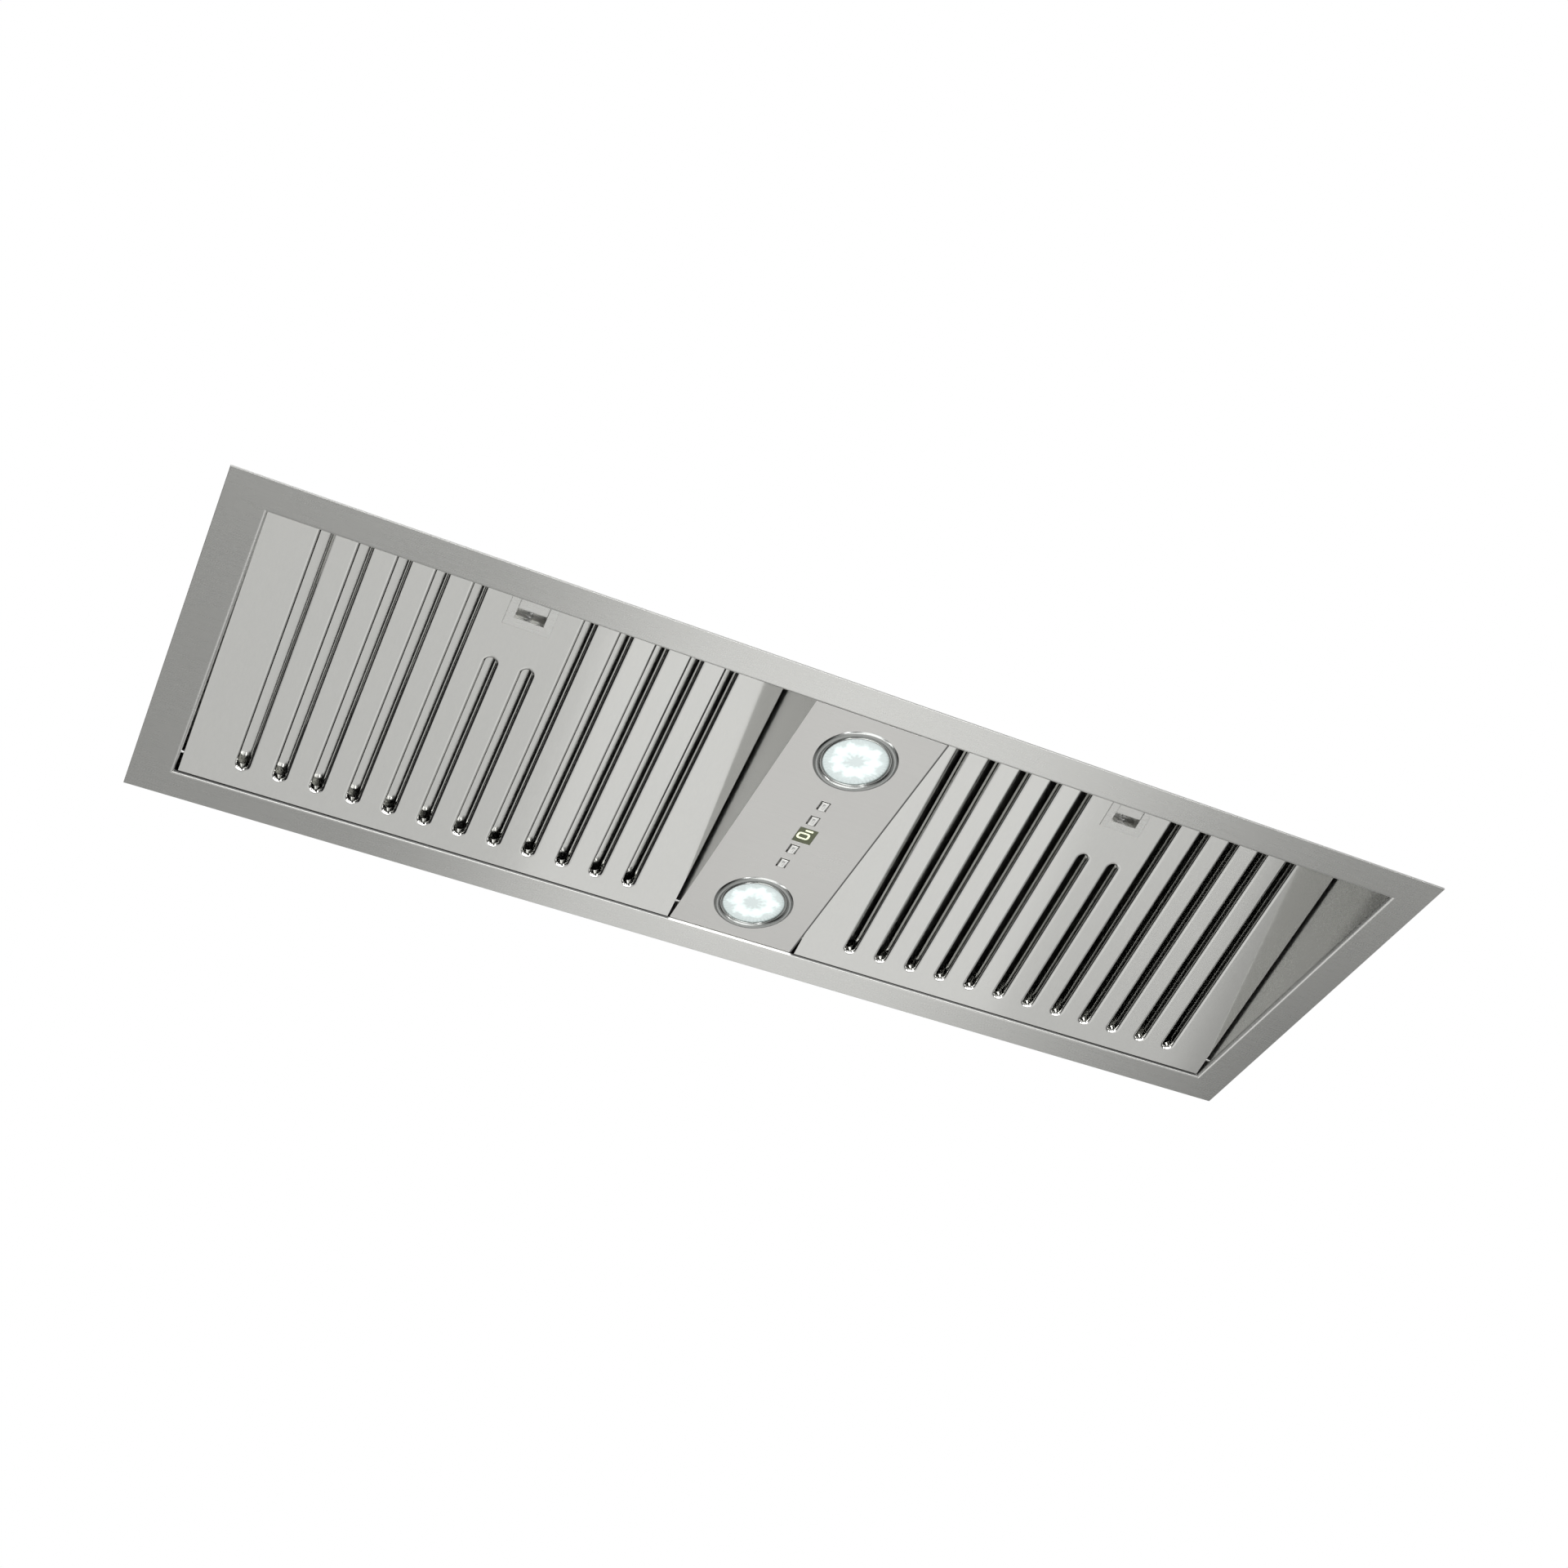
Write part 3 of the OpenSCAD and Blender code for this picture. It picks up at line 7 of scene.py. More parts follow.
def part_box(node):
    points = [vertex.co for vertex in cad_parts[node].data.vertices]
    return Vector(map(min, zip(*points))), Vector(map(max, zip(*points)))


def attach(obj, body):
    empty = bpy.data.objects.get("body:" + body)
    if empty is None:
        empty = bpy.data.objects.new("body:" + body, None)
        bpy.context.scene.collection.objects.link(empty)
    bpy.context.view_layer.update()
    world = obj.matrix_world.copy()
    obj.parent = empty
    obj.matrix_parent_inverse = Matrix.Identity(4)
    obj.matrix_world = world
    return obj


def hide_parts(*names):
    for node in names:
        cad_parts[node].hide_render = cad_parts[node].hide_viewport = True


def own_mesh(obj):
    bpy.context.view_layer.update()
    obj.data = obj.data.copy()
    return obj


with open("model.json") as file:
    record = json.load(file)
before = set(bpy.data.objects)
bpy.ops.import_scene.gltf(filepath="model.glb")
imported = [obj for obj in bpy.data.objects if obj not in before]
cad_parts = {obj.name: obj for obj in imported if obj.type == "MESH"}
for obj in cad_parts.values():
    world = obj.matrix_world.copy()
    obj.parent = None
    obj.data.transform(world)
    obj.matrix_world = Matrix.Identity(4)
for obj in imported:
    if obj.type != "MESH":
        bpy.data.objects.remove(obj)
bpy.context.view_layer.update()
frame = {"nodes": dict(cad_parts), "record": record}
nodes = frame["nodes"]
scene = bpy.context.scene
bpy.ops.object.select_all(action="DESELECT")
print("frame loaded:", len(nodes), "nodes")

# camera, at the photo's angle: in front, to the left and below, looking up

cameraLook = {
    "lens": 45.51,
    "place": (-0.4421, -0.9080, -0.8994),
    "yaw": 25.23,  # degrees from straight back, towards the right
    "pitch": 43.2275,
    "roll": 0.2264,
    "sensor": 36,  # millimetres, as for the lens
    "clipStart": 0.01,
}


def addCamera():
    yaw, pitch, roll = (math.radians(cameraLook[k]) for k in ("yaw", "pitch", "roll"))
    ahead = Vector((math.sin(yaw) * math.cos(pitch), math.cos(yaw) * math.cos(pitch), math.sin(pitch)))
    level = Vector((math.cos(yaw), -math.sin(yaw), 0))
    above = level.cross(ahead)
    side = level * math.cos(roll) + above * math.sin(roll)
    top = above * math.cos(roll) - level * math.sin(roll)
    bpy.ops.object.camera_add()
    camera = bpy.context.object
    camera.name = "photoCamera"
    camera.data.lens = cameraLook["lens"]
    camera.data.sensor_width = cameraLook["sensor"]
    camera.data.clip_start = cameraLook["clipStart"]
    turned = Matrix((side, top, -ahead)).transposed().to_4x4()
    camera.matrix_world = Matrix.Translation(cameraLook["place"]) @ turned
    scene.camera = camera


addCamera()

# studio: pale floor under the hood, soft lamps, white behind

studio = {
    "floorZ": -1.6,
    "floorSize": 60,
    "floorColour": (0.80, 0.80, 0.79, 1),
    "floorRough": 0.9,
    "floorShine": 0.1,
    "clothColour": (0.015, 0.015, 0.015, 1),
    "clothRough": 0.95,
    "skyStrength": 0.42,  # what lights the object; seen directly the world is white
    "white": (1, 1, 1, 1),
}
studioLamps = [
    # name, place, aimed at, width, height, watts
    ("farCard", (0.77, 1.60, -1.5), (0.77, 1.60, 0), 1.0, 1.4, 3.0),
    ("nearCard", (0.335, 0.50, -1.5), (0.335, 0.50, 0), 2.01, 0.75, 1.26),
    ("middleCard", (0.55, 0.50, -1.44), (0.55, 0.50, 0), 0.8, 0.75, 0.33),
    ("frontCard", (0.45, -1.40, -0.80), (0.2, 0, -0.3), 1.5, 1.1, 15),
    ("lowCard", (0.40, -0.80, -1.5), (0.40, -0.80, 0), 1.8, 0.8, 11),
    ("leftStrip", (-1.15, -1.20, -0.90), (0, 0, -0.2), 0.3, 1.1, 9),
    ("rightStrip", (1.75, -0.80, -0.90), (0, 0, -0.2), 0.3, 1.1, 8),
    ("overheadSoft", (-0.6, -0.8, 2.4), (0, 0, 0.1), 2.4, 2.4, 18),
    ("floorWash", (0.2, 0.2, 2.6), (0.3, 0.3, -1.6), 2.6, 2.6, 14),
]
studioFlags = [
    # dark cloths and mats that give the bent metal its dark lines and the flange's ends their tone:
    # name, middle, turn about X and Z in degrees, width, height
    ("leftFlag", (-1.75, -0.15, -0.35), (90, 90), 3.1, 1.8),
    ("frontFlag", (0.35, -1.95, -0.35), (90, 0), 4.2, 1.5),
    ("rightFlag", (2.45, -0.50, -0.35), (90, 90), 2.8, 1.8),
    ("leftMat", (-1.65, 1.00, -1.55), (0, 0), 1.5, 2.2),
    ("rightMat", (2.35, 2.00, -1.55), (0, 0), 0.8, 0.8),
]
cupboardPanel = {
    "size": 2.6,
    "height": 0.0013,  # a tenth of a millimetre above the flange's sheet
    "cutOut": (0.812, 0.246),
}


def plainPaint(name, colour, rough):
    mat = bpy.data.materials.new(name)
    mat.use_nodes = True
    bsdf = mat.node_tree.nodes["Principled BSDF"]
    bsdf.inputs["Base Color"].default_value = colour
    bsdf.inputs["Roughness"].default_value = rough
    return mat, bsdf


def addFloor():
    bpy.ops.mesh.primitive_plane_add(size=studio["floorSize"], location=(0, 0, studio["floorZ"]))
    floor = bpy.context.object
    floor.name = "studioFloor"
    bpy.ops.object.transform_apply(location=True)
    paint, bsdf = plainPaint("studioFloorPaint", studio["floorColour"], studio["floorRough"])
    bsdf.inputs["Specular IOR Level"].default_value = studio["floorShine"]
    floor.data.materials.append(paint)


def addFlags():
    cloth = plainPaint("flagCloth", studio["clothColour"], studio["clothRough"])[0]
    for name, place, (turnX, turnZ), width, height in studioFlags:
        turn = [math.radians(angle) for angle in (turnX, 0, turnZ)]
        bpy.ops.mesh.primitive_plane_add(size=1, location=place, rotation=turn)
        flag = bpy.context.object
        flag.name = name
        flag.scale = (width, height, 1)
        bpy.ops.object.transform_apply()
        flag.data.materials.append(cloth)
        flag.visible_camera = False
        flag.visible_shadow = False


def addLamps():
    for name, place, aim, width, height, watts in studioLamps:
        bpy.ops.object.light_add(type="AREA", location=place)
        lamp = bpy.context.object
        lamp.name = name
        lamp.data.shape = "RECTANGLE"
        lamp.data.size = width
        lamp.data.size_y = height
        lamp.data.energy = watts
        lamp.rotation_euler = (Vector(aim) - Vector(place)).to_track_quat("-Z", "Y").to_euler()
        lamp.visible_camera = False


def addSky():
    # white to the camera and in reflections, and a softer light on the object
    world = bpy.data.worlds.new("studioSky")
    scene.world = world
    world.use_nodes = True
    tree = world.node_tree
    tree.nodes.clear()
    out = tree.nodes.new("ShaderNodeOutputWorld")
    path = tree.nodes.new("ShaderNodeLightPath")
    seen = tree.nodes.new("ShaderNodeMath")
    seen.operation = "MAXIMUM"
    shown = tree.nodes.new("ShaderNodeMath")
    shown.operation = "MAXIMUM"
    tree.links.new(path.outputs["Is Camera Ray"], seen.inputs[0])
    tree.links.new(path.outputs["Is Glossy Ray"], seen.inputs[1])
    tree.links.new(seen.outputs[0], shown.inputs[0])
    tree.links.new(path.outputs["Is Transmission Ray"], shown.inputs[1])
    soft = tree.nodes.new("ShaderNodeBackground")
    soft.inputs["Color"].default_value = studio["white"]
    soft.inputs["Strength"].default_value = studio["skyStrength"]
    white = tree.nodes.new("ShaderNodeBackground")
    white.inputs["Color"].default_value = studio["white"]
    white.inputs["Strength"].default_value = 1
    blend = tree.nodes.new("ShaderNodeMixShader")
    tree.links.new(shown.outputs[0], blend.inputs["Fac"])
    tree.links.new(soft.outputs[0], blend.inputs[1])
    tree.links.new(white.outputs[0], blend.inputs[2])
    tree.links.new(blend.outputs[0], out.inputs["Surface"])


def addCupboardPanel():
    # the white cupboard floor over the flange, with its cut-out; only the camera sees it, from below
    halfX, halfY = (v / 2 for v in cupboardPanel["cutOut"])
    height = cupboardPanel["height"]
    bpy.ops.mesh.primitive_plane_add(size=cupboardPanel["size"], location=(0, 0, height))
    panel = bpy.context.object
    panel.name = "cupboardPanel"
    bpy.ops.object.transform_apply(location=True)
    bpy.ops.object.mode_set(mode="EDIT")
    cuts = [((x, 0, height), (1, 0, 0)) for x in (halfX, -halfX)]
    cuts += [((0, y, height), (0, 1, 0)) for y in (halfY, -halfY)]
    for place, normal in cuts:
        bpy.ops.mesh.select_all(action="SELECT")
        bpy.ops.mesh.bisect(plane_co=place, plane_no=normal)
    bpy.ops.mesh.select_all(action="DESELECT")
    bpy.ops.object.mode_set(mode="OBJECT")
    for face in panel.data.polygons:
        face.select = abs(face.center.x) < halfX and abs(face.center.y) < halfY
    bpy.ops.object.mode_set(mode="EDIT")
    bpy.ops.mesh.select_mode(type="FACE")
    bpy.ops.mesh.delete(type="FACE")
    bpy.ops.mesh.select_all(action="SELECT")
    bpy.ops.mesh.flip_normals()  # the white side looks down
    bpy.ops.object.mode_set(mode="OBJECT")
    mat = bpy.data.materials.new("cupboardWhite")
    mat.use_nodes = True
    tree = mat.node_tree
    tree.nodes.clear()
    out = tree.nodes.new("ShaderNodeOutputMaterial")
    path = tree.nodes.new("ShaderNodeLightPath")
    side = tree.nodes.new("ShaderNodeNewGeometry")
    front = tree.nodes.new("ShaderNodeMath")
    front.operation = "SUBTRACT"
    front.inputs[0].default_value = 1
    tree.links.new(side.outputs["Backfacing"], front.inputs[1])
    shown = tree.nodes.new("ShaderNodeMath")
    shown.operation = "MULTIPLY"
    tree.links.new(path.outputs["Is Camera Ray"], shown.inputs[0])
    tree.links.new(front.outputs[0], shown.inputs[1])
    clear = tree.nodes.new("ShaderNodeBsdfTransparent")
    white = tree.nodes.new("ShaderNodeEmission")
    white.inputs["Color"].default_value = studio["white"]
    white.inputs["Strength"].default_value = 1
    blend = tree.nodes.new("ShaderNodeMixShader")
    tree.links.new(shown.outputs[0], blend.inputs["Fac"])
    tree.links.new(clear.outputs[0], blend.inputs[1])
    tree.links.new(white.outputs[0], blend.inputs[2])
    tree.links.new(blend.outputs[0], out.inputs["Surface"])
    panel.data.materials.append(mat)


addFloor()
addFlags()
addLamps()
addSky()
addCupboardPanel()
scene.view_settings.view_transform = "Standard"
print("camera and studio in place")


# shader groups that several finishes share

def newGroup(name, inputs, outputs):
    group = bpy.data.node_groups.new(name, "ShaderNodeTree")
    for label, kind, value in inputs:
        socket = group.interface.new_socket(label, in_out="INPUT", socket_type=kind)
        if value is not None:
            socket.default_value = value
    for label, kind in outputs:
        group.interface.new_socket(label, in_out="OUTPUT", socket_type=kind)
    return group, group.nodes.new("NodeGroupInput"), group.nodes.new("NodeGroupOutput")


def addNode(tree, kind, settings=None, values=None):
    node = tree.nodes.new(kind)
    for key, value in (settings or {}).items():
        setattr(node, key, value)
    for key, value in (values or {}).items():
        node.inputs[key].default_value = value
    return node


def noise(tree, vector, scale, detail=2.0, rough=0.5):
    node = addNode(tree, "ShaderNodeTexNoise", values={"Scale": scale, "Detail": detail, "Roughness": rough})
    tree.links.new(vector, node.inputs["Vector"])
    return node.outputs["Fac"]


def remap(tree, value, lo, hi, toLo, toHi):
    span = {"From Min": lo, "From Max": hi, "To Min": toLo, "To Max": toHi}
    node = addNode(tree, "ShaderNodeMapRange", values=span)
    tree.links.new(value, node.inputs["Value"])
    return node.outputs["Result"]


def smoothStep(tree, value, lo, hi):
    span = {"From Min": lo, "From Max": hi}
    node = addNode(tree, "ShaderNodeMapRange", {"interpolation_type": "SMOOTHSTEP"}, span)
    tree.links.new(value, node.inputs["Value"])
    return node.outputs["Result"]


def maths(tree, operation, a, b=0):
    node = addNode(tree, "ShaderNodeMath", {"operation": operation})
    for socket, value in zip(node.inputs, (a, b)):
        if isinstance(value, (int, float)):
            socket.default_value = value
        else:
            tree.links.new(value, socket)
    return node.outputs[0]


grainLook = {
    "thin": (2600, 3, 0.6),  # scale, detail and roughness of the noise
    "wide": (700, 2, 0.5),
    "cloud": (9, 2, 0.5),
    "thinShare": 0.6,
    "wideShare": 0.4,
}


def makeSatinGrain():
    # fine parallel lines left by the finishing belt, with slow clouding over the sheet
    group, gin, gout = newGroup(
        "satinGrain",
        [("Vector", "NodeSocketVector", None), ("Fineness", "NodeSocketFloat", 1.0)],
        [("Lines", "NodeSocketFloat"), ("Clouds", "NodeSocketFloat")],
    )
    fine = addNode(group, "ShaderNodeVectorMath", {"operation": "SCALE"})
    group.links.new(gin.outputs["Vector"], fine.inputs[0])
    group.links.new(gin.outputs["Fineness"], fine.inputs["Scale"])
    thin = maths(group, "MULTIPLY", noise(group, fine.outputs[0], *grainLook["thin"]), grainLook["thinShare"])
    wide = maths(group, "MULTIPLY", noise(group, fine.outputs[0], *grainLook["wide"]), grainLook["wideShare"])
    group.links.new(maths(group, "ADD", thin, wide), gout.inputs["Lines"])
    group.links.new(noise(group, gin.outputs["Vector"], *grainLook["cloud"]), gout.inputs["Clouds"])
    return group


def makeEdgeWear():
    # rounds the shading at sheet edges and says where an edge is
    group, gin, gout = newGroup(
        "edgeWear",
        [("Radius", "NodeSocketFloat", 0.0006), ("Sharpness", "NodeSocketFloat", 6.0)],
        [("Normal", "NodeSocketVector"), ("Edge", "NodeSocketFloat")],
    )
    bevel = addNode(group, "ShaderNodeBevel", {"samples": 6})
    group.links.new(gin.outputs["Radius"], bevel.inputs["Radius"])
    flat = group.nodes.new("ShaderNodeNewGeometry")
    dot = addNode(group, "ShaderNodeVectorMath", {"operation": "DOT_PRODUCT"})
    group.links.new(bevel.outputs["Normal"], dot.inputs[0])
    group.links.new(flat.outputs["Normal"], dot.inputs[1])
    bent = maths(group, "SUBTRACT", 1.0, dot.outputs["Value"])
    sharp = addNode(group, "ShaderNodeMath", {"operation": "MULTIPLY", "use_clamp": True})
    group.links.new(bent, sharp.inputs[0])
    group.links.new(gin.outputs["Sharpness"], sharp.inputs[1])
    group.links.new(bevel.outputs["Normal"], gout.inputs["Normal"])
    group.links.new(sharp.outputs[0], gout.inputs["Edge"])
    return group


spangleLook = {
    "warpScale": 60,
    "warpDetail": 2,
    "warpReach": 0.006,
    "seamWidth": 0.08,
}


def makeSpangle():
    # zinc crystals: flat patches of slightly different grey
    group, gin, gout = newGroup(
        "zincSpangle",
        [("Vector", "NodeSocketVector", None), ("Grain", "NodeSocketFloat", 110.0)],
        [("Patch", "NodeSocketFloat"), ("Seam", "NodeSocketFloat")],
    )
    warp = addNode(group, "ShaderNodeTexNoise", values={
        "Scale": spangleLook["warpScale"],
        "Detail": spangleLook["warpDetail"],
    })
    group.links.new(gin.outputs["Vector"], warp.inputs["Vector"])
    reach = {"Scale": spangleLook["warpReach"]}
    small = addNode(group, "ShaderNodeVectorMath", {"operation": "SCALE"}, reach)
    group.links.new(warp.outputs["Color"], small.inputs[0])
    moved = addNode(group, "ShaderNodeVectorMath", {"operation": "ADD"})
    group.links.new(gin.outputs["Vector"], moved.inputs[0])
    group.links.new(small.outputs[0], moved.inputs[1])
    cells = addNode(group, "ShaderNodeTexVoronoi", {"feature": "F1"})
    edges = addNode(group, "ShaderNodeTexVoronoi", {"feature": "DISTANCE_TO_EDGE"})
    for node in (cells, edges):
        group.links.new(moved.outputs[0], node.inputs["Vector"])
        group.links.new(gin.outputs["Grain"], node.inputs["Scale"])
    split = group.nodes.new("ShaderNodeSeparateColor")
    group.links.new(cells.outputs["Color"], split.inputs[0])
    group.links.new(split.outputs[0], gout.inputs["Patch"])
    seam = remap(group, edges.outputs["Distance"], 0.0, spangleLook["seamWidth"], 1.0, 0.0)
    group.links.new(seam, gout.inputs["Seam"])
    return group


def makeMouldGrain():
    # the fine sparked texture of a moulded part, with faint flow marks
    group, gin, gout = newGroup(
        "mouldGrain",
        [("Vector", "NodeSocketVector", None), ("Fineness", "NodeSocketFloat", 1400.0)],
        [("Grain", "NodeSocketFloat"), ("Flow", "NodeSocketFloat")],
    )
    node = addNode(group, "ShaderNodeTexNoise", values={"Detail": 3, "Roughness": 0.65})
    group.links.new(gin.outputs["Vector"], node.inputs["Vector"])
    group.links.new(gin.outputs["Fineness"], node.inputs["Scale"])
    group.links.new(node.outputs["Fac"], gout.inputs["Grain"])
    group.links.new(noise(group, gin.outputs["Vector"], 26, 2, 0.5), gout.inputs["Flow"])
    return group


dustLook = {
    "facing": (0.5, 1.0),  # how far a face looks up, from none to all of the dust
    "patch": (38, 4, 0.6),  # scale, detail and roughness of the noise
    "patchSpan": (0.38, 0.66),
    "least": 0.2,
}


def makeDust():
    # dust that settles on faces that look up
    group, gin, gout = newGroup(
        "settledDust",
        [("Vector", "NodeSocketVector", None), ("Amount", "NodeSocketFloat", 0.3)],
        [("Dust", "NodeSocketFloat")],
    )
    facing = group.nodes.new("ShaderNodeNewGeometry")
    split = group.nodes.new("ShaderNodeSeparateXYZ")
    group.links.new(facing.outputs["Normal"], split.inputs[0])
    up = remap(group, split.outputs["Z"], *dustLook["facing"], 0.0, 1.0)
    spots = noise(group, gin.outputs["Vector"], *dustLook["patch"])
    patch = remap(group, spots, *dustLook["patchSpan"], dustLook["least"], 1.0)
    dust = maths(group, "MULTIPLY", maths(group, "MULTIPLY", up, patch), gin.outputs["Amount"])
    group.links.new(dust, gout.inputs["Dust"])
    return group


satinGrain = makeSatinGrain()
edgeWear = makeEdgeWear()
zincSpangle = makeSpangle()
mouldGrain = makeMouldGrain()
settledDust = makeDust()
print("shader groups ready")


# finishes

def newFinish(name, metallic=0.0, ior=None, specular=None):
    mat = bpy.data.materials.new(name)
    mat.use_nodes = True
    tree = mat.node_tree
    bsdf = tree.nodes["Principled BSDF"]
    bsdf.inputs["Metallic"].default_value = metallic
    if ior is not None:
        bsdf.inputs["IOR"].default_value = ior
    if specular is not None:
        bsdf.inputs["Specular IOR Level"].default_value = specular
    return mat, tree, bsdf


def objectVector(tree, stretch=(1, 1, 1)):
    coords = tree.nodes.new("ShaderNodeTexCoord")
    mapping = tree.nodes.new("ShaderNodeMapping")
    mapping.inputs["Scale"].default_value = stretch
    tree.links.new(coords.outputs["Object"], mapping.inputs["Vector"])
    return mapping.outputs["Vector"]


def useGroup(tree, group, vector=None, **values):
    node = tree.nodes.new("ShaderNodeGroup")
    node.node_tree = group
    if vector is not None:
        tree.links.new(vector, node.inputs["Vector"])
    for key, value in values.items():
        node.inputs[key].default_value = value
    return node


def mixColour(tree, factor, first, second):
    node = addNode(tree, "ShaderNodeMix", {"data_type": "RGBA"})
    tree.links.new(factor, node.inputs["Factor"])
    for socket, value in ((node.inputs[6], first), (node.inputs[7], second)):
        if isinstance(value, tuple):
            socket.default_value = value if len(value) == 4 else (*value, 1)
        else:
            tree.links.new(value, socket)
    return node.outputs[2]


def bumpOn(tree, bsdf, height, strength, distance, normal=None):
    bump = addNode(tree, "ShaderNodeBump", values={"Strength": strength, "Distance": distance})
    tree.links.new(height, bump.inputs["Height"])
    if normal is not None:
        tree.links.new(normal, bump.inputs["Normal"])
    tree.links.new(bump.outputs["Normal"], bsdf.inputs["Normal"])


steelLooks = {
    # edge is the radius in metres over which a sheet's edge is rounded in the shading
    "brushedSteel": {
        "colour": (0.64, 0.64, 0.62), "rough": (0.26, 0.29),
        "stretch": (0.02, 1, 1), "bump": 0.02, "edge": 0.0005,
        "wall": (0.74, 0.74, 0.72),  # painted light: a lighter tone on the walls that face inward, standing in for the light they catch
        "wallSpan": (-0.1, -0.3),  # x times the normal's x, from none to all of that tone
        "gapShadeFrom": 0.0004,  # height where the painted shade in the gap behind the filters starts
        "outerRough": 0.20,  # roughness that the skirt's outer side adds
    },
    "fasciaSteel": {
        "colour": (0.565, 0.560, 0.543), "rough": (0.27, 0.30),
        "stretch": (0.02, 1, 1), "bump": 0.02, "edge": 0.0004,
        # painted light: a lighter tone on the console's side cheeks
        "wall": (0.88, 0.88, 0.86),
        "wallSpan": (0.02, 0.04),
        "bendShadeX": 0.0468,  # where the painted shade line on the bend next to the right-hand filter starts
    },
    "filterSteel": {
        "colour": (0.66, 0.66, 0.64), "rough": (0.075, 0.115),
        "stretch": (1, 0.03, 1), "bump": 0.02, "edge": 0.0004,
    },
    "baffleSteel": {
        "colour": (0.66, 0.66, 0.64), "rough": (0.12, 0.20),
        "stretch": (1, 0.03, 1), "bump": 0.05, "edge": 0.0004,
    },
    "latchSteel": {
        "colour": (0.67, 0.67, 0.65), "rough": (0.24, 0.32),
        "stretch": (0.04, 1, 1), "bump": 0.06, "edge": 0.0003,
    },
    "buttonMetal": {
        "colour": (0.72, 0.72, 0.70), "rough": (0.16, 0.24),
        "stretch": (1, 1, 1), "bump": 0.04, "edge": 0.0004,
    },
    "brightSteel": {
        "colour": (0.62, 0.62, 0.62), "rough": (0.20, 0.32),
        "stretch": (1, 1, 1), "bump": 0.08, "edge": 0.0003,
    },
}
steelWear = {
    "sharpness": 3.0,
    "darker": 0.965,  # the grain's darker lines, as a share of the colour
    "brighter": 1.08,  # rubbed edges
    "lineSpan": (0.35, 0.65),
    "roughSpan": (0.3, 0.7),
    "cloudRough": (-0.008, 0.012),
    "cloudFineness": 0.2,
    "bumpDepth": 0.0002,
}
steelMarks = {
    # painted shade lines in the gaps and bends, and the skirt's mill tone, that place and direction give to
    # the bent sheets, in metres
    # colour of the painted shade lines
    "shadeColour": (0.05, 0.05, 0.05),
    "bendShadeFade": 0.0002,
    "bendShadeStrength": 0.85,
    "bendShadeHeights": (0.0026, 0.0034),
    "gapShadeBeside": (0.047, 0.049),  # clear of the console
    "gapShadeBehind": (0.100, 0.105),
    "gapShadeFacing": (-0.40, -0.50),  # the normal's y
    "gapShadeFade": 0.0003,
    "gapShadeStrength": 0.93,
    "gapShadeTop": (0.02, 0.05),
    "outerSpan": (0.05, 0.10),  # place times normal, from none to all of the mill finish
    "mill": (0.46, 0.46, 0.45),
}


def splitPlaceAndFacing(tree):
    coords = tree.nodes.new("ShaderNodeTexCoord")
    halves = []
    for label in ("Object", "Normal"):
        node = tree.nodes.new("ShaderNodeSeparateXYZ")
        tree.links.new(coords.outputs[label], node.inputs[0])
        halves.append(node.outputs)
    return halves


def paintBendShade(tree, place, bendShadeX, tone):
    # painted shade: a dark line along the bend next to the right-hand filter
    fade = steelMarks["bendShadeFade"]
    beyond = remap(tree, place["X"], bendShadeX - fade, bendShadeX + fade, 0, steelMarks["bendShadeStrength"])
    low = remap(tree, place["Z"], *steelMarks["bendShadeHeights"], 1, 0)
    return mixColour(tree, maths(tree, "MULTIPLY", beyond, low), tone, steelMarks["shadeColour"])


def paintGapShade(tree, place, facing, start, tone):
    # painted shade: the narrow gap behind the filters' low edge is darkened where shade falls
    beside = remap(tree, maths(tree, "ABSOLUTE", place["X"]), *steelMarks["gapShadeBeside"], 0, 1)
    farBack = remap(tree, place["Y"], *steelMarks["gapShadeBehind"], 0, 1)
    inwards = remap(tree, facing["Y"], *steelMarks["gapShadeFacing"], 0, 1)
    behind = maths(tree, "MULTIPLY", farBack, inwards)
    rising = remap(tree, place["Z"], start, start + steelMarks["gapShadeFade"], 0, steelMarks["gapShadeStrength"])
    ending = remap(tree, place["Z"], *steelMarks["gapShadeTop"], 1, 0)
    high = maths(tree, "MULTIPLY", rising, ending)
    dustAndGapShade = maths(tree, "MULTIPLY", maths(tree, "MULTIPLY", behind, high), beside)
    return mixColour(tree, dustAndGapShade, tone, steelMarks["shadeColour"])


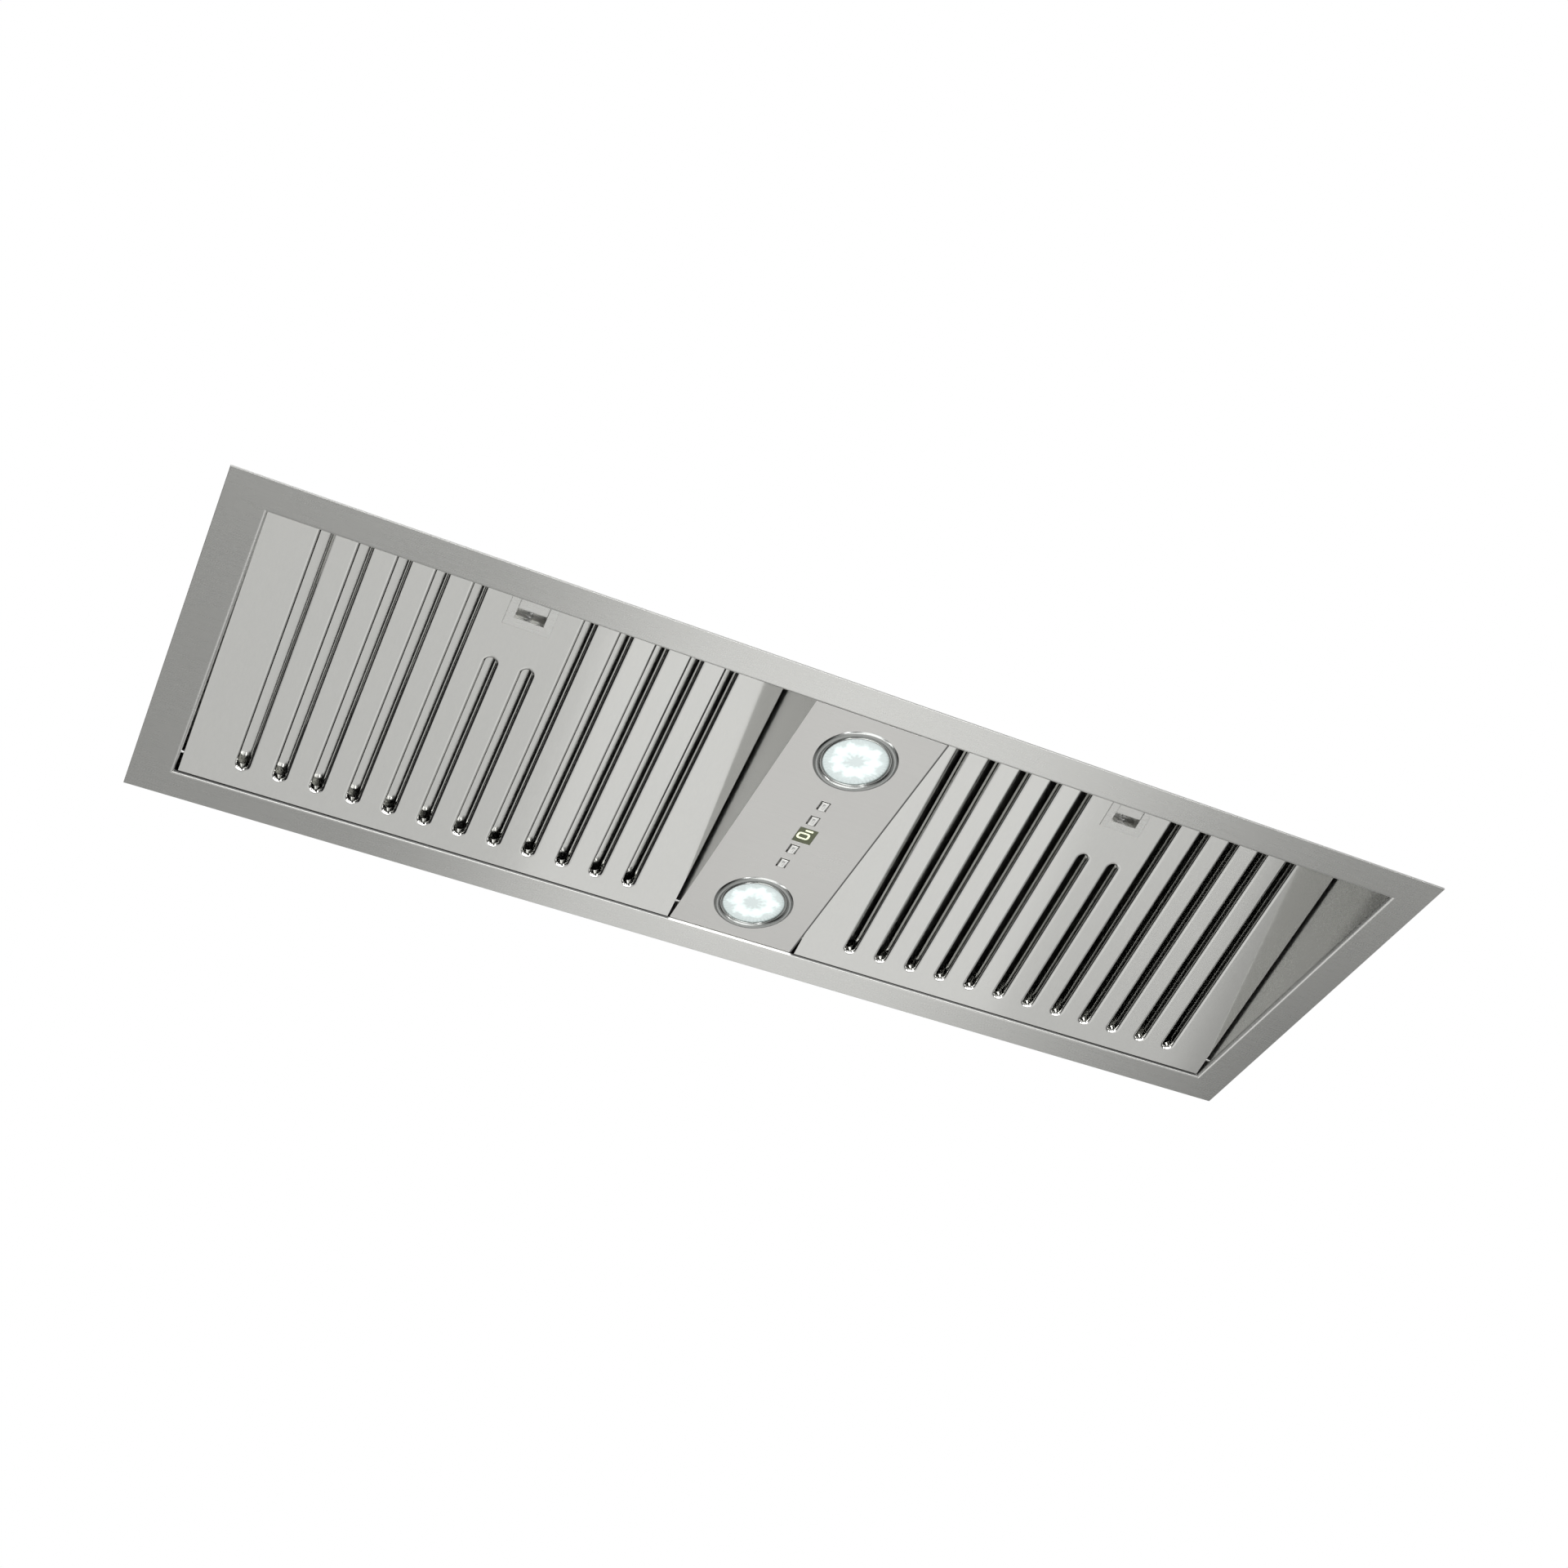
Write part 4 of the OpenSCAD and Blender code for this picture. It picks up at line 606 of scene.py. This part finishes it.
def makeSteel(name):
    look = steelLooks[name]
    mat, tree, bsdf = newFinish(name, metallic=1.0)
    grain = useGroup(tree, satinGrain, objectVector(tree, look["stretch"]), Fineness=1.0)
    clouds = useGroup(tree, satinGrain, objectVector(tree), Fineness=steelWear["cloudFineness"])
    wear = useGroup(tree, edgeWear, Radius=look["edge"], Sharpness=steelWear["sharpness"])
    colour = look["colour"]
    darker = tuple(c * steelWear["darker"] for c in colour)
    brighter = tuple(min(1, c * steelWear["brighter"]) for c in colour)
    lined = mixColour(tree, remap(tree, grain.outputs["Lines"], *steelWear["lineSpan"], 0, 1), darker, colour)
    surfaceColour = mixColour(tree, wear.outputs["Edge"], lined, brighter)
    place, facing = splitPlaceAndFacing(tree)
    # painted light: walls picked by place times facing take a lighter tone
    if "wall" in look:
        walls = remap(tree, maths(tree, "MULTIPLY", place["X"], facing["X"]), *look["wallSpan"], 0, 1)
        surfaceColour = mixColour(tree, walls, surfaceColour, look["wall"])
    # painted shade line along the fascia's bend
    if "bendShadeX" in look:
        surfaceColour = paintBendShade(tree, place, look["bendShadeX"], surfaceColour)
    # painted shade in the gap behind the filters
    if "gapShadeFrom" in look:
        surfaceColour = paintGapShade(tree, place, facing, look["gapShadeFrom"], surfaceColour)
    rough = remap(tree, grain.outputs["Lines"], *steelWear["roughSpan"], *look["rough"])
    cloudy = remap(tree, clouds.outputs["Clouds"], *steelWear["roughSpan"], *steelWear["cloudRough"])
    rough = maths(tree, "ADD", rough, cloudy)
    if "outerRough" in look:
        # the skirt's outer side is left as it came from the mill
        across = maths(tree, "MULTIPLY", place["X"], facing["X"])
        along = maths(tree, "MULTIPLY", place["Y"], facing["Y"])
        farthest = maths(tree, "MAXIMUM", across, along)
        outer = remap(tree, farthest, *steelMarks["outerSpan"], 0, look["outerRough"])
        rough = maths(tree, "ADD", rough, outer)
        milled = maths(tree, "MULTIPLY", outer, 1 / look["outerRough"])
        surfaceColour = mixColour(tree, milled, surfaceColour, steelMarks["mill"])
    tree.links.new(surfaceColour, bsdf.inputs["Base Color"])
    tree.links.new(rough, bsdf.inputs["Roughness"])
    bumpOn(tree, bsdf, grain.outputs["Lines"], look["bump"], steelWear["bumpDepth"], wear.outputs["Normal"])
    return mat


zincLook = {
    "metallic": 0.85,
    "edge": 0.0006,
    "sharpness": 3.0,
    "patches": (0.84, 1.10),  # darkest and brightest crystal, as shares of the colour
    "seam": 1.2,
    "seamShare": 0.25,
    "dustColour": (0.50, 0.49, 0.46),
    "rough": (0.44, 0.58),
    "bump": 0.10,
    "bumpDepth": 0.0003,
}


def makeZinc(name, colour, grain, dust):
    mat, tree, bsdf = newFinish(name, metallic=zincLook["metallic"])
    vector = objectVector(tree)
    crystal = useGroup(tree, zincSpangle, vector, Grain=grain)
    dustAndGapShade = useGroup(tree, settledDust, vector, Amount=dust)
    wear = useGroup(tree, edgeWear, Radius=zincLook["edge"], Sharpness=zincLook["sharpness"])
    darkest, brightest = (tuple(c * share for c in colour) for share in zincLook["patches"])
    patch = mixColour(tree, crystal.outputs["Patch"], darkest, brightest)
    seams = maths(tree, "MULTIPLY", crystal.outputs["Seam"], zincLook["seamShare"])
    seamed = mixColour(tree, seams, patch, tuple(c * zincLook["seam"] for c in colour))
    dusty = mixColour(tree, dustAndGapShade.outputs["Dust"], seamed, zincLook["dustColour"])
    tree.links.new(dusty, bsdf.inputs["Base Color"])
    rough = remap(tree, crystal.outputs["Patch"], 0, 1, *zincLook["rough"])
    tree.links.new(maths(tree, "ADD", rough, dustAndGapShade.outputs["Dust"]), bsdf.inputs["Roughness"])
    depth = zincLook["bumpDepth"]
    bumpOn(tree, bsdf, crystal.outputs["Seam"], zincLook["bump"], depth, wear.outputs["Normal"])
    return mat


skinSpan = (0.2, 0.8)  # the part of the skin noise that changes the roughness


def addSheen(tree, bsdf, noiseOut, lo, hi):
    tree.links.new(remap(tree, noiseOut, *skinSpan, lo, hi), bsdf.inputs["Roughness"])


mouldedLook = {
    "edge": 0.0005,
    "sharpness": 2.5,
    "lighter": (1.25, 0.012),  # rubbed edges: times, plus
    "darker": 0.86,
    "roughSwing": 0.07,
    "bumpDepth": 0.0002,
}


def makeMoulded(name, colour, rough, fineness=1400.0, bump=0.25, specular=0.5):
    mat, tree, bsdf = newFinish(name, specular=specular)
    vector = objectVector(tree)
    skin = useGroup(tree, mouldGrain, vector, Fineness=fineness)
    wear = useGroup(tree, edgeWear, Radius=mouldedLook["edge"], Sharpness=mouldedLook["sharpness"])
    times, plus = mouldedLook["lighter"]
    lighter = tuple(min(1, c * times + plus) for c in colour)
    flow = mixColour(tree, skin.outputs["Flow"], tuple(c * mouldedLook["darker"] for c in colour), colour)
    tree.links.new(mixColour(tree, wear.outputs["Edge"], flow, lighter), bsdf.inputs["Base Color"])
    swing = mouldedLook["roughSwing"]
    addSheen(tree, bsdf, skin.outputs["Grain"], rough - swing, rough + swing)
    bumpOn(tree, bsdf, skin.outputs["Grain"], bump, mouldedLook["bumpDepth"], wear.outputs["Normal"])
    return mat


paintedLook = {
    "fineness": 520.0,
    "dust": 0.25,
    "dustColour": (0.46, 0.45, 0.42),
    "edge": 0.0008,
    "sharpness": 3.0,
    "darker": 0.9,
    "rubbed": 1.5,
    "roughSwing": 0.05,
    "bump": 0.15,
    "bumpDepth": 0.0003,
}


def makePainted(name, colour, rough, metallic=0.0):
    mat, tree, bsdf = newFinish(name, metallic=metallic)
    vector = objectVector(tree)
    look = paintedLook
    skin = useGroup(tree, mouldGrain, vector, Fineness=look["fineness"])
    dustAndGapShade = useGroup(tree, settledDust, vector, Amount=look["dust"])
    wear = useGroup(tree, edgeWear, Radius=look["edge"], Sharpness=look["sharpness"])
    coat = mixColour(tree, skin.outputs["Flow"], tuple(c * look["darker"] for c in colour), colour)
    surfaceColour = mixColour(tree, wear.outputs["Edge"], coat, tuple(min(1, c * look["rubbed"]) for c in colour))
    dusty = mixColour(tree, dustAndGapShade.outputs["Dust"], surfaceColour, look["dustColour"])
    tree.links.new(dusty, bsdf.inputs["Base Color"])
    swing = look["roughSwing"]
    addSheen(tree, bsdf, skin.outputs["Flow"], rough - swing, rough + swing)
    bumpOn(tree, bsdf, skin.outputs["Grain"], look["bump"], look["bumpDepth"], wear.outputs["Normal"])
    return mat


lampLook = {
    "lit": (0.86, 1.0, 0.97),  # what the lit ring gives off
    "dim": (0.43, 0.49, 0.48),
    "strength": 0.76,
    "centreY": 0.080,
    "dimRadius": 0.0042,
    "litRadius": 0.0132,
    "petals": 10,
    "dimFade": 0.0060,
    "litFade": 0.0050,
    "wobble": 0.0022,
    "petalIn": -0.0008,  # how far the petals move the dim middle's edge
    "petalOut": 0.0010,  # and the lit ring's outer edge
    "glass": ((0.30, 0.33, 0.33), (0.36, 0.39, 0.39)),
    "glassRough": (0.10, 0.18),
    "led": ((0.86, 0.92, 0.93), (0.94, 0.98, 0.99)),
}
chromeLook = {
    "tone": ((0.34, 0.35, 0.34), (0.39, 0.40, 0.39)),
    "rough": (0.22, 0.28),
}
displayLook = {
    "lens": ((0.055, 0.065, 0.028), (0.085, 0.095, 0.045)),
    "lensRough": (0.10, 0.16),
    "digit": ((0.80, 0.86, 0.58), (0.90, 0.93, 0.70)),
    "digitStrength": 0.35,
}
boardLook = {
    "green": ((0.03, 0.15, 0.06), (0.05, 0.20, 0.08)),
    "track": (0.10, 0.30, 0.13),
    "trackScale": 90.0,
    "trackWidth": 0.03,
    "rough": (0.28, 0.40),
}


def makeChrome(name):
    mat, tree, bsdf = newFinish(name, metallic=1.0)
    vector = objectVector(tree)
    skin = useGroup(tree, mouldGrain, vector, Fineness=300.0)
    tone = mixColour(tree, skin.outputs["Flow"], *chromeLook["tone"])
    tree.links.new(tone, bsdf.inputs["Base Color"])
    addSheen(tree, bsdf, skin.outputs["Grain"], *chromeLook["rough"])
    return mat


def makeLampGlow(name):
    mat, tree, bsdf = newFinish(name)
    vector = objectVector(tree)
    skin = useGroup(tree, mouldGrain, vector, Fineness=900.0)
    tone = mixColour(tree, skin.outputs["Flow"], *lampLook["led"])
    tree.links.new(tone, bsdf.inputs["Base Color"])
    tree.links.new(tone, bsdf.inputs["Emission Color"])
    bsdf.inputs["Emission Strength"].default_value = lampLook["strength"]
    return mat


def makeLampGlass(name):
    # frosted lens over a ring of diodes: dim middle, petals of light, duller fluted edge
    mat, tree, bsdf = newFinish(name, ior=1.49)
    bsdf.inputs["Emission Strength"].default_value = lampLook["strength"]
    bsdf.inputs["Coat Weight"].default_value = 0.3
    vector = objectVector(tree)
    skin = useGroup(tree, mouldGrain, vector, Fineness=420.0)
    split = tree.nodes.new("ShaderNodeSeparateXYZ")
    tree.links.new(vector, split.inputs[0])
    across = split.outputs["X"]
    # both lamps share the finish, so distances are taken from the nearer lamp's middle
    along = maths(tree, "SUBTRACT", maths(tree, "ABSOLUTE", split.outputs["Y"]), lampLook["centreY"])
    signed = maths(tree, "MULTIPLY", along, maths(tree, "SIGN", split.outputs["Y"]))
    squares = [maths(tree, "MULTIPLY", value, value) for value in (across, along)]
    reach = maths(tree, "SQRT", maths(tree, "ADD", *squares))
    turn = maths(tree, "ARCTAN2", signed, across)
    petals = maths(tree, "COSINE", maths(tree, "MULTIPLY", turn, lampLook["petals"]))
    swing = lampLook["wobble"]
    wobble = remap(tree, noise(tree, vector, 210, 2, 0.5), 0.3, 0.7, -swing, swing)
    uneven = maths(tree, "ADD", reach, wobble)
    soft = maths(tree, "ADD", uneven, maths(tree, "MULTIPLY", petals, lampLook["petalIn"]))
    inside = smoothStep(tree, soft, lampLook["dimRadius"], lampLook["dimRadius"] + lampLook["dimFade"])
    outer = maths(tree, "ADD", uneven, maths(tree, "MULTIPLY", petals, lampLook["petalOut"]))
    outside = smoothStep(tree, outer, lampLook["litRadius"] + lampLook["litFade"], lampLook["litRadius"])
    lit = maths(tree, "MULTIPLY", inside, outside)
    grain = remap(tree, skin.outputs["Grain"], 0.3, 0.7, 0.94, 1.0)
    glow = mixColour(tree, maths(tree, "MULTIPLY", lit, grain), lampLook["dim"], lampLook["lit"])
    tree.links.new(glow, bsdf.inputs["Emission Color"])
    tree.links.new(mixColour(tree, skin.outputs["Flow"], *lampLook["glass"]), bsdf.inputs["Base Color"])
    addSheen(tree, bsdf, skin.outputs["Grain"], *lampLook["glassRough"])
    bumpOn(tree, bsdf, skin.outputs["Grain"], 0.15, 0.0002)
    return mat


def makeDigit(name):
    mat, tree, bsdf = newFinish(name)
    skin = useGroup(tree, mouldGrain, objectVector(tree), Fineness=600.0)
    tone = mixColour(tree, skin.outputs["Flow"], *displayLook["digit"])
    tree.links.new(tone, bsdf.inputs["Base Color"])
    tree.links.new(tone, bsdf.inputs["Emission Color"])
    bsdf.inputs["Emission Strength"].default_value = displayLook["digitStrength"]
    return mat


def makeBoard(name):
    mat, tree, bsdf = newFinish(name)
    vector = objectVector(tree)
    skin = useGroup(tree, mouldGrain, vector, Fineness=700.0)
    tracks = addNode(tree, "ShaderNodeTexBrick", values={
        "Scale": boardLook["trackScale"],
        "Mortar Size": boardLook["trackWidth"],
    })
    tree.links.new(vector, tracks.inputs["Vector"])
    green = mixColour(tree, skin.outputs["Flow"], *boardLook["green"])
    lines = mixColour(tree, tracks.outputs["Fac"], green, boardLook["track"])
    tree.links.new(lines, bsdf.inputs["Base Color"])
    addSheen(tree, bsdf, skin.outputs["Grain"], *boardLook["rough"])
    return mat


def makeDisplayLens(name):
    mat, tree, bsdf = newFinish(name, ior=1.5)
    vector = objectVector(tree)
    skin = useGroup(tree, mouldGrain, vector, Fineness=300.0)
    tree.links.new(mixColour(tree, skin.outputs["Flow"], *displayLook["lens"]), bsdf.inputs["Base Color"])
    addSheen(tree, bsdf, skin.outputs["Grain"], *displayLook["lensRough"])
    return mat


finishes = {
    "brushed_steel": makeSteel("brushedSteel"),
    "filter_steel": makeSteel("filterSteel"),
    "latch_steel": makeSteel("latchSteel"),
    "button_metal": makeSteel("buttonMetal"),
    "bright_steel": makeSteel("brightSteel"),
    "galvanised_steel": makeZinc("galvanisedSteel", (0.56, 0.58, 0.59), 120.0, 0.20),
    "heat_sink": makeZinc("castAluminium", (0.60, 0.60, 0.61), 700.0, 0.15),
    "motor_can": makePainted("motorPaint", (0.30, 0.31, 0.32), 0.38, 0.3),
    "hub_brass": makePainted("hubBrass", (0.66, 0.50, 0.24), 0.28, 1.0),
    "blower_plastic": makeMoulded("blowerPlastic", (0.045, 0.045, 0.048), 0.50),
    "black_plastic": makeMoulded("blackPlastic", (0.022, 0.022, 0.023), 0.42),
    "grommet_rubber": makeMoulded("grommetRubber", (0.018, 0.018, 0.018), 0.62, 900.0, 0.35, 0.3),
    "white_plastic": makeMoulded("whitePlastic", (0.72, 0.72, 0.68), 0.40),
    "board_green": makeBoard("boardGreen"),
    "lamp_chrome": makeChrome("lampChrome"),
    "lamp_glass": makeLampGlass("lampGlass"),
    "lamp_leds": makeLampGlow("lampGlow"),
    "display_lens": makeDisplayLens("displayLens"),
}
digitGlow = makeDigit("displayGlow")
# nodes whose sheet differs a little from their slot's
ownFinishes = {"console_cover": makeSteel("fasciaSteel")}
ownFinishes["left_filter_back"] = ownFinishes["right_filter_back"] = makeSteel("baffleSteel")


def finishNodes():
    for part in frame["record"]["subparts"]:
        mesh = nodes[part["node"]].data
        mesh.materials.clear()
        mesh.materials.append(ownFinishes.get(part["node"], finishes[part["material_slot"]]))


finishNodes()


# pieces that take a CAD node's place, or lie on one

def placeOf(node):
    lo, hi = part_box(node)
    return Vector(lo), Vector(hi)


def startPiece():
    bpy.ops.object.select_all(action="DESELECT")


def takeOver(name, slot, body, hidden=None, finish=None):
    piece = bpy.context.object
    piece.name = name
    piece.data.name = name
    piece.data.materials.clear()
    piece.data.materials.append(finish or finishes[slot])
    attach(piece, body)
    if hidden:
        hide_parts(hidden)
    return piece


def pickFaces(test):
    # selects faces in edit mode by their middle and normal
    bpy.ops.mesh.select_mode(type="FACE")
    bpy.ops.mesh.select_all(action="DESELECT")
    bpy.ops.object.mode_set(mode="OBJECT")
    for face in bpy.context.object.data.polygons:
        face.select = bool(test(face.center, face.normal))
    bpy.ops.object.mode_set(mode="EDIT")


lampLens = {
    "sides": 96,
    "rimIn": 0.0011,  # plain rolled rim round the flutes
    "fluteIn": 0.0042,
    "fluteDepth": 0.00035,
    "crown": 0.0007,
    "steps": 5,
    "rimRound": 0.0004,
    "rimStep": 0.0003,
    "smooth": 28,  # degrees
    "reachNear": 0.0001,  # how near a vertex has to be to a ring to count as on it
}


def addLampLens(name, node):
    lo, hi = placeOf(node)
    middle = (lo + hi) / 2
    radius = (hi.x - lo.x) / 2
    rimRound, fluteIn, steps = lampLens["rimRound"], lampLens["fluteIn"], lampLens["steps"]
    startPiece()
    bpy.ops.mesh.primitive_cylinder_add(
        vertices=lampLens["sides"], radius=radius, depth=hi.z - lo.z, location=middle)
    bpy.ops.object.transform_apply()
    bpy.ops.object.mode_set(mode="EDIT")
    pickFaces(lambda centre, normal: normal.z < -0.9)
    bpy.ops.mesh.inset(thickness=rimRound)
    bpy.ops.mesh.inset(thickness=lampLens["rimIn"] - rimRound)
    bpy.ops.transform.translate(value=(0, 0, rimRound))
    bpy.ops.mesh.inset(thickness=lampLens["rimStep"])
    bpy.ops.mesh.inset(thickness=fluteIn)
    inner = radius - lampLens["rimIn"] - lampLens["rimStep"] - fluteIn
    for step in range(steps):
        bpy.ops.mesh.inset(thickness=inner / (steps + 0.6))
        bpy.ops.transform.translate(value=(0, 0, -lampLens["crown"] * (1 - step / steps) / 3))
    bpy.ops.mesh.poke()
    bpy.ops.object.mode_set(mode="OBJECT")
    mesh = bpy.context.object.data
    for vertex in mesh.vertices:  # every second spoke of the flute ring stands lower
        out = Vector((vertex.co.x - middle.x, vertex.co.y - middle.y))
        rings = (abs(out.length - inner), abs(out.length - inner - fluteIn))
        if min(rings) < lampLens["reachNear"]:
            turn = round(math.atan2(out.y, out.x) / (2 * math.pi) * lampLens["sides"])
            if turn % 2 and vertex.co.z < lo.z + 0.001:
                vertex.co.z -= lampLens["fluteDepth"]
    bpy.ops.object.shade_smooth_by_angle(angle=math.radians(lampLens["smooth"]))
    return takeOver(name, "lamp_glass", "housing", node)


buttonCap = {
    "gap": 0.0009,  # dark slit between the cap and the hole in the fascia
    "faceInset": 0.0009,
    "edgeRound": 0.00035,
    "rimOut": 0.001,
    "rimThickness": 0.0009,
    "rimLow": 0.0035,
    "stemRadius": 0.0012,
    "setBack": 0.0002,  # the cap's edge starts this much above the CAD button's face
    "dome": (0.00012, 0.00008),  # steps down to that face
    "dish": 0.0003,
    "dishIn": 0.0006,
    "smooth": 35,  # degrees
}


def addButtonCap(node):
    lo, hi = placeOf(node)
    middle = (lo + hi) / 2
    out, gap = buttonCap["rimOut"], buttonCap["gap"]
    rimLow, rimThickness = buttonCap["rimLow"], buttonCap["rimThickness"]
    setBack, stemWidth = buttonCap["setBack"], 2 * buttonCap["stemRadius"]
    rimWidth, rimLength = hi.x - lo.x, hi.y - lo.y
    width, length = rimWidth - 2 * out - 2 * gap, rimLength - 2 * out - gap
    rimMiddle = (middle.x, middle.y, rimLow)
    startPiece()
    bpy.ops.mesh.primitive_cube_add(size=1, location=(middle.x, middle.y, (lo.z + setBack + rimLow) / 2))
    bpy.ops.transform.resize(value=(width, length, rimLow - lo.z - setBack))
    bpy.ops.object.transform_apply()
    bpy.ops.object.mode_set(mode="EDIT")
    pickFaces(lambda centre, normal: normal.z > 0.9)
    bpy.ops.mesh.extrude_region_move()
    bpy.ops.transform.resize(value=(rimWidth / width, rimLength / length, 1), center_override=rimMiddle)
    bpy.ops.mesh.extrude_region_move(TRANSFORM_OT_translate={"value": (0, 0, rimThickness)})
    bpy.ops.mesh.inset(thickness=rimWidth / 2 - buttonCap["stemRadius"])
    square = stemWidth / (rimLength - rimWidth + stemWidth)  # makes the stem as long as it is wide
    bpy.ops.transform.resize(value=(1, square, 1), center_override=rimMiddle)
    bpy.ops.mesh.extrude_region_move(TRANSFORM_OT_translate={"value": (0, 0, hi.z - rimLow - rimThickness)})
    pickFaces(lambda centre, normal: normal.z < -0.9 and centre.z < lo.z + 0.001)
    for inset, down in zip((buttonCap["edgeRound"], buttonCap["faceInset"]), buttonCap["dome"]):
        bpy.ops.mesh.inset(thickness=inset)
        bpy.ops.transform.translate(value=(0, 0, -down))
    bpy.ops.mesh.inset(thickness=buttonCap["dishIn"])
    bpy.ops.transform.translate(value=(0, 0, buttonCap["dish"]))
    bpy.ops.object.mode_set(mode="OBJECT")
    bpy.ops.object.shade_smooth_by_angle(angle=math.radians(buttonCap["smooth"]))
    return takeOver(node.replace("_button", "Cap"), "button_metal", node, node)


displayDigit = {
    "length": 0.0092,  # along the hood
    "height": 0.0066,
    "stroke": 0.0015,
    "lift": 0.00005,
    "shift": (-0.0012, 0.0004),
    "corner": (0.36, 6),  # share of the height, steps
    "barSize": (0.0058, 0.0017),
    "barShift": (0.0008, -0.0054),
    "barCorner": (0.35, 4),
}


def addDisplayDigit():
    # a lit nought, its long side along the hood, and a small lit bar
    lo, hi = placeOf("display_window")
    middle = (lo + hi) / 2
    low = lo.z - displayDigit["lift"]
    startPiece()
    across, along = displayDigit["shift"]
    bpy.ops.mesh.primitive_plane_add(size=1, location=(middle.x + across, middle.y + along, low))
    bpy.ops.transform.resize(value=(displayDigit["length"], displayDigit["height"], 1))
    bpy.ops.object.transform_apply()
    bpy.ops.object.mode_set(mode="EDIT")
    bpy.ops.mesh.select_all(action="SELECT")
    share, steps = displayDigit["corner"]
    bpy.ops.mesh.bevel(offset=displayDigit["height"] * share, segments=steps, affect="VERTICES")
    bpy.ops.mesh.select_all(action="SELECT")
    bpy.ops.mesh.inset(thickness=displayDigit["stroke"])
    bpy.ops.mesh.delete(type="FACE")
    across, along = displayDigit["barShift"]
    wide, high = displayDigit["barSize"]
    bpy.ops.mesh.select_all(action="DESELECT")
    x, y = middle.x + across, middle.y + along
    bpy.ops.mesh.primitive_plane_add(size=1, location=(x, y, low))
    bpy.ops.transform.resize(value=(wide, high, 1), center_override=(x, y, lo.z))
    share, steps = displayDigit["barCorner"]
    bpy.ops.mesh.bevel(offset=high * share, segments=steps, affect="VERTICES")
    bpy.ops.mesh.select_all(action="SELECT")
    bpy.ops.mesh.extrude_region_move(TRANSFORM_OT_translate={"value": (0, 0, displayDigit["lift"] * 2)})
    bpy.ops.mesh.select_all(action="SELECT")
    bpy.ops.mesh.normals_make_consistent(inside=False)
    bpy.ops.object.mode_set(mode="OBJECT")
    return takeOver("displayDigit", "display_lens", "housing", finish=digitGlow)


latchCoil = {
    "turns": 8,
    "wire": 0.00035,
    "wireSides": 8,
    "steps": 20,
    "slope": 15.5,  # degrees, the filter's own slope
    "smooth": 60,
}


def addLatchCoil(side):
    node = side + "_latch_spring"
    lo, hi = placeOf(node)
    slope = math.radians(latchCoil["slope"])
    outer = (hi.x - lo.x) / 2
    along = Vector((0, -math.cos(slope), math.sin(slope)))
    start = Vector(((lo.x + hi.x) / 2, hi.y - outer * math.sin(slope), lo.z + outer * math.cos(slope)))
    end = Vector((start.x, lo.y + outer * math.sin(slope), hi.z - outer * math.cos(slope)))
    wire = latchCoil["wire"]
    length = (end - start).length - 2 * wire
    startPiece()
    bpy.ops.mesh.primitive_circle_add(
        vertices=latchCoil["wireSides"], radius=wire,
        location=(outer - wire, 0, 0), rotation=(math.pi / 2, 0, 0))
    bpy.ops.object.transform_apply()
    coil = bpy.context.object
    screw = coil.modifiers.new("coil", "SCREW")
    screw.axis = "Z"
    screw.screw_offset = length / latchCoil["turns"]
    screw.iterations = latchCoil["turns"]
    screw.steps = latchCoil["steps"]
    screw.render_steps = latchCoil["steps"]
    bpy.ops.object.modifier_apply(modifier=screw.name)
    bpy.ops.object.mode_set(mode="EDIT")
    bpy.ops.mesh.select_all(action="SELECT")
    bpy.ops.mesh.fill_holes(sides=latchCoil["wireSides"])
    bpy.ops.mesh.select_all(action="SELECT")
    bpy.ops.mesh.normals_make_consistent(inside=False)
    bpy.ops.object.mode_set(mode="OBJECT")
    turned = Vector((0, 0, 1)).rotation_difference(along).to_matrix().to_4x4()
    coil.matrix_world = Matrix.Translation(start + along * wire) @ turned
    bpy.ops.object.transform_apply()
    bpy.ops.object.shade_smooth_by_angle(angle=math.radians(latchCoil["smooth"]))
    takeOver(side + "LatchCoil", "bright_steel", side + "_filter", node)
    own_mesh(coil)


for lampName in ("front", "rear"):
    addLampLens(lampName + "LampLens", lampName + "_lamp_glass")
for buttonNode in ("power_button", "slower_button", "faster_button", "light_button"):
    addButtonCap(buttonNode)
addDisplayDigit()
for sideName in ("left", "right"):
    addLatchCoil(sideName)
print("lamp lenses, button caps, digit and latch coils in place")
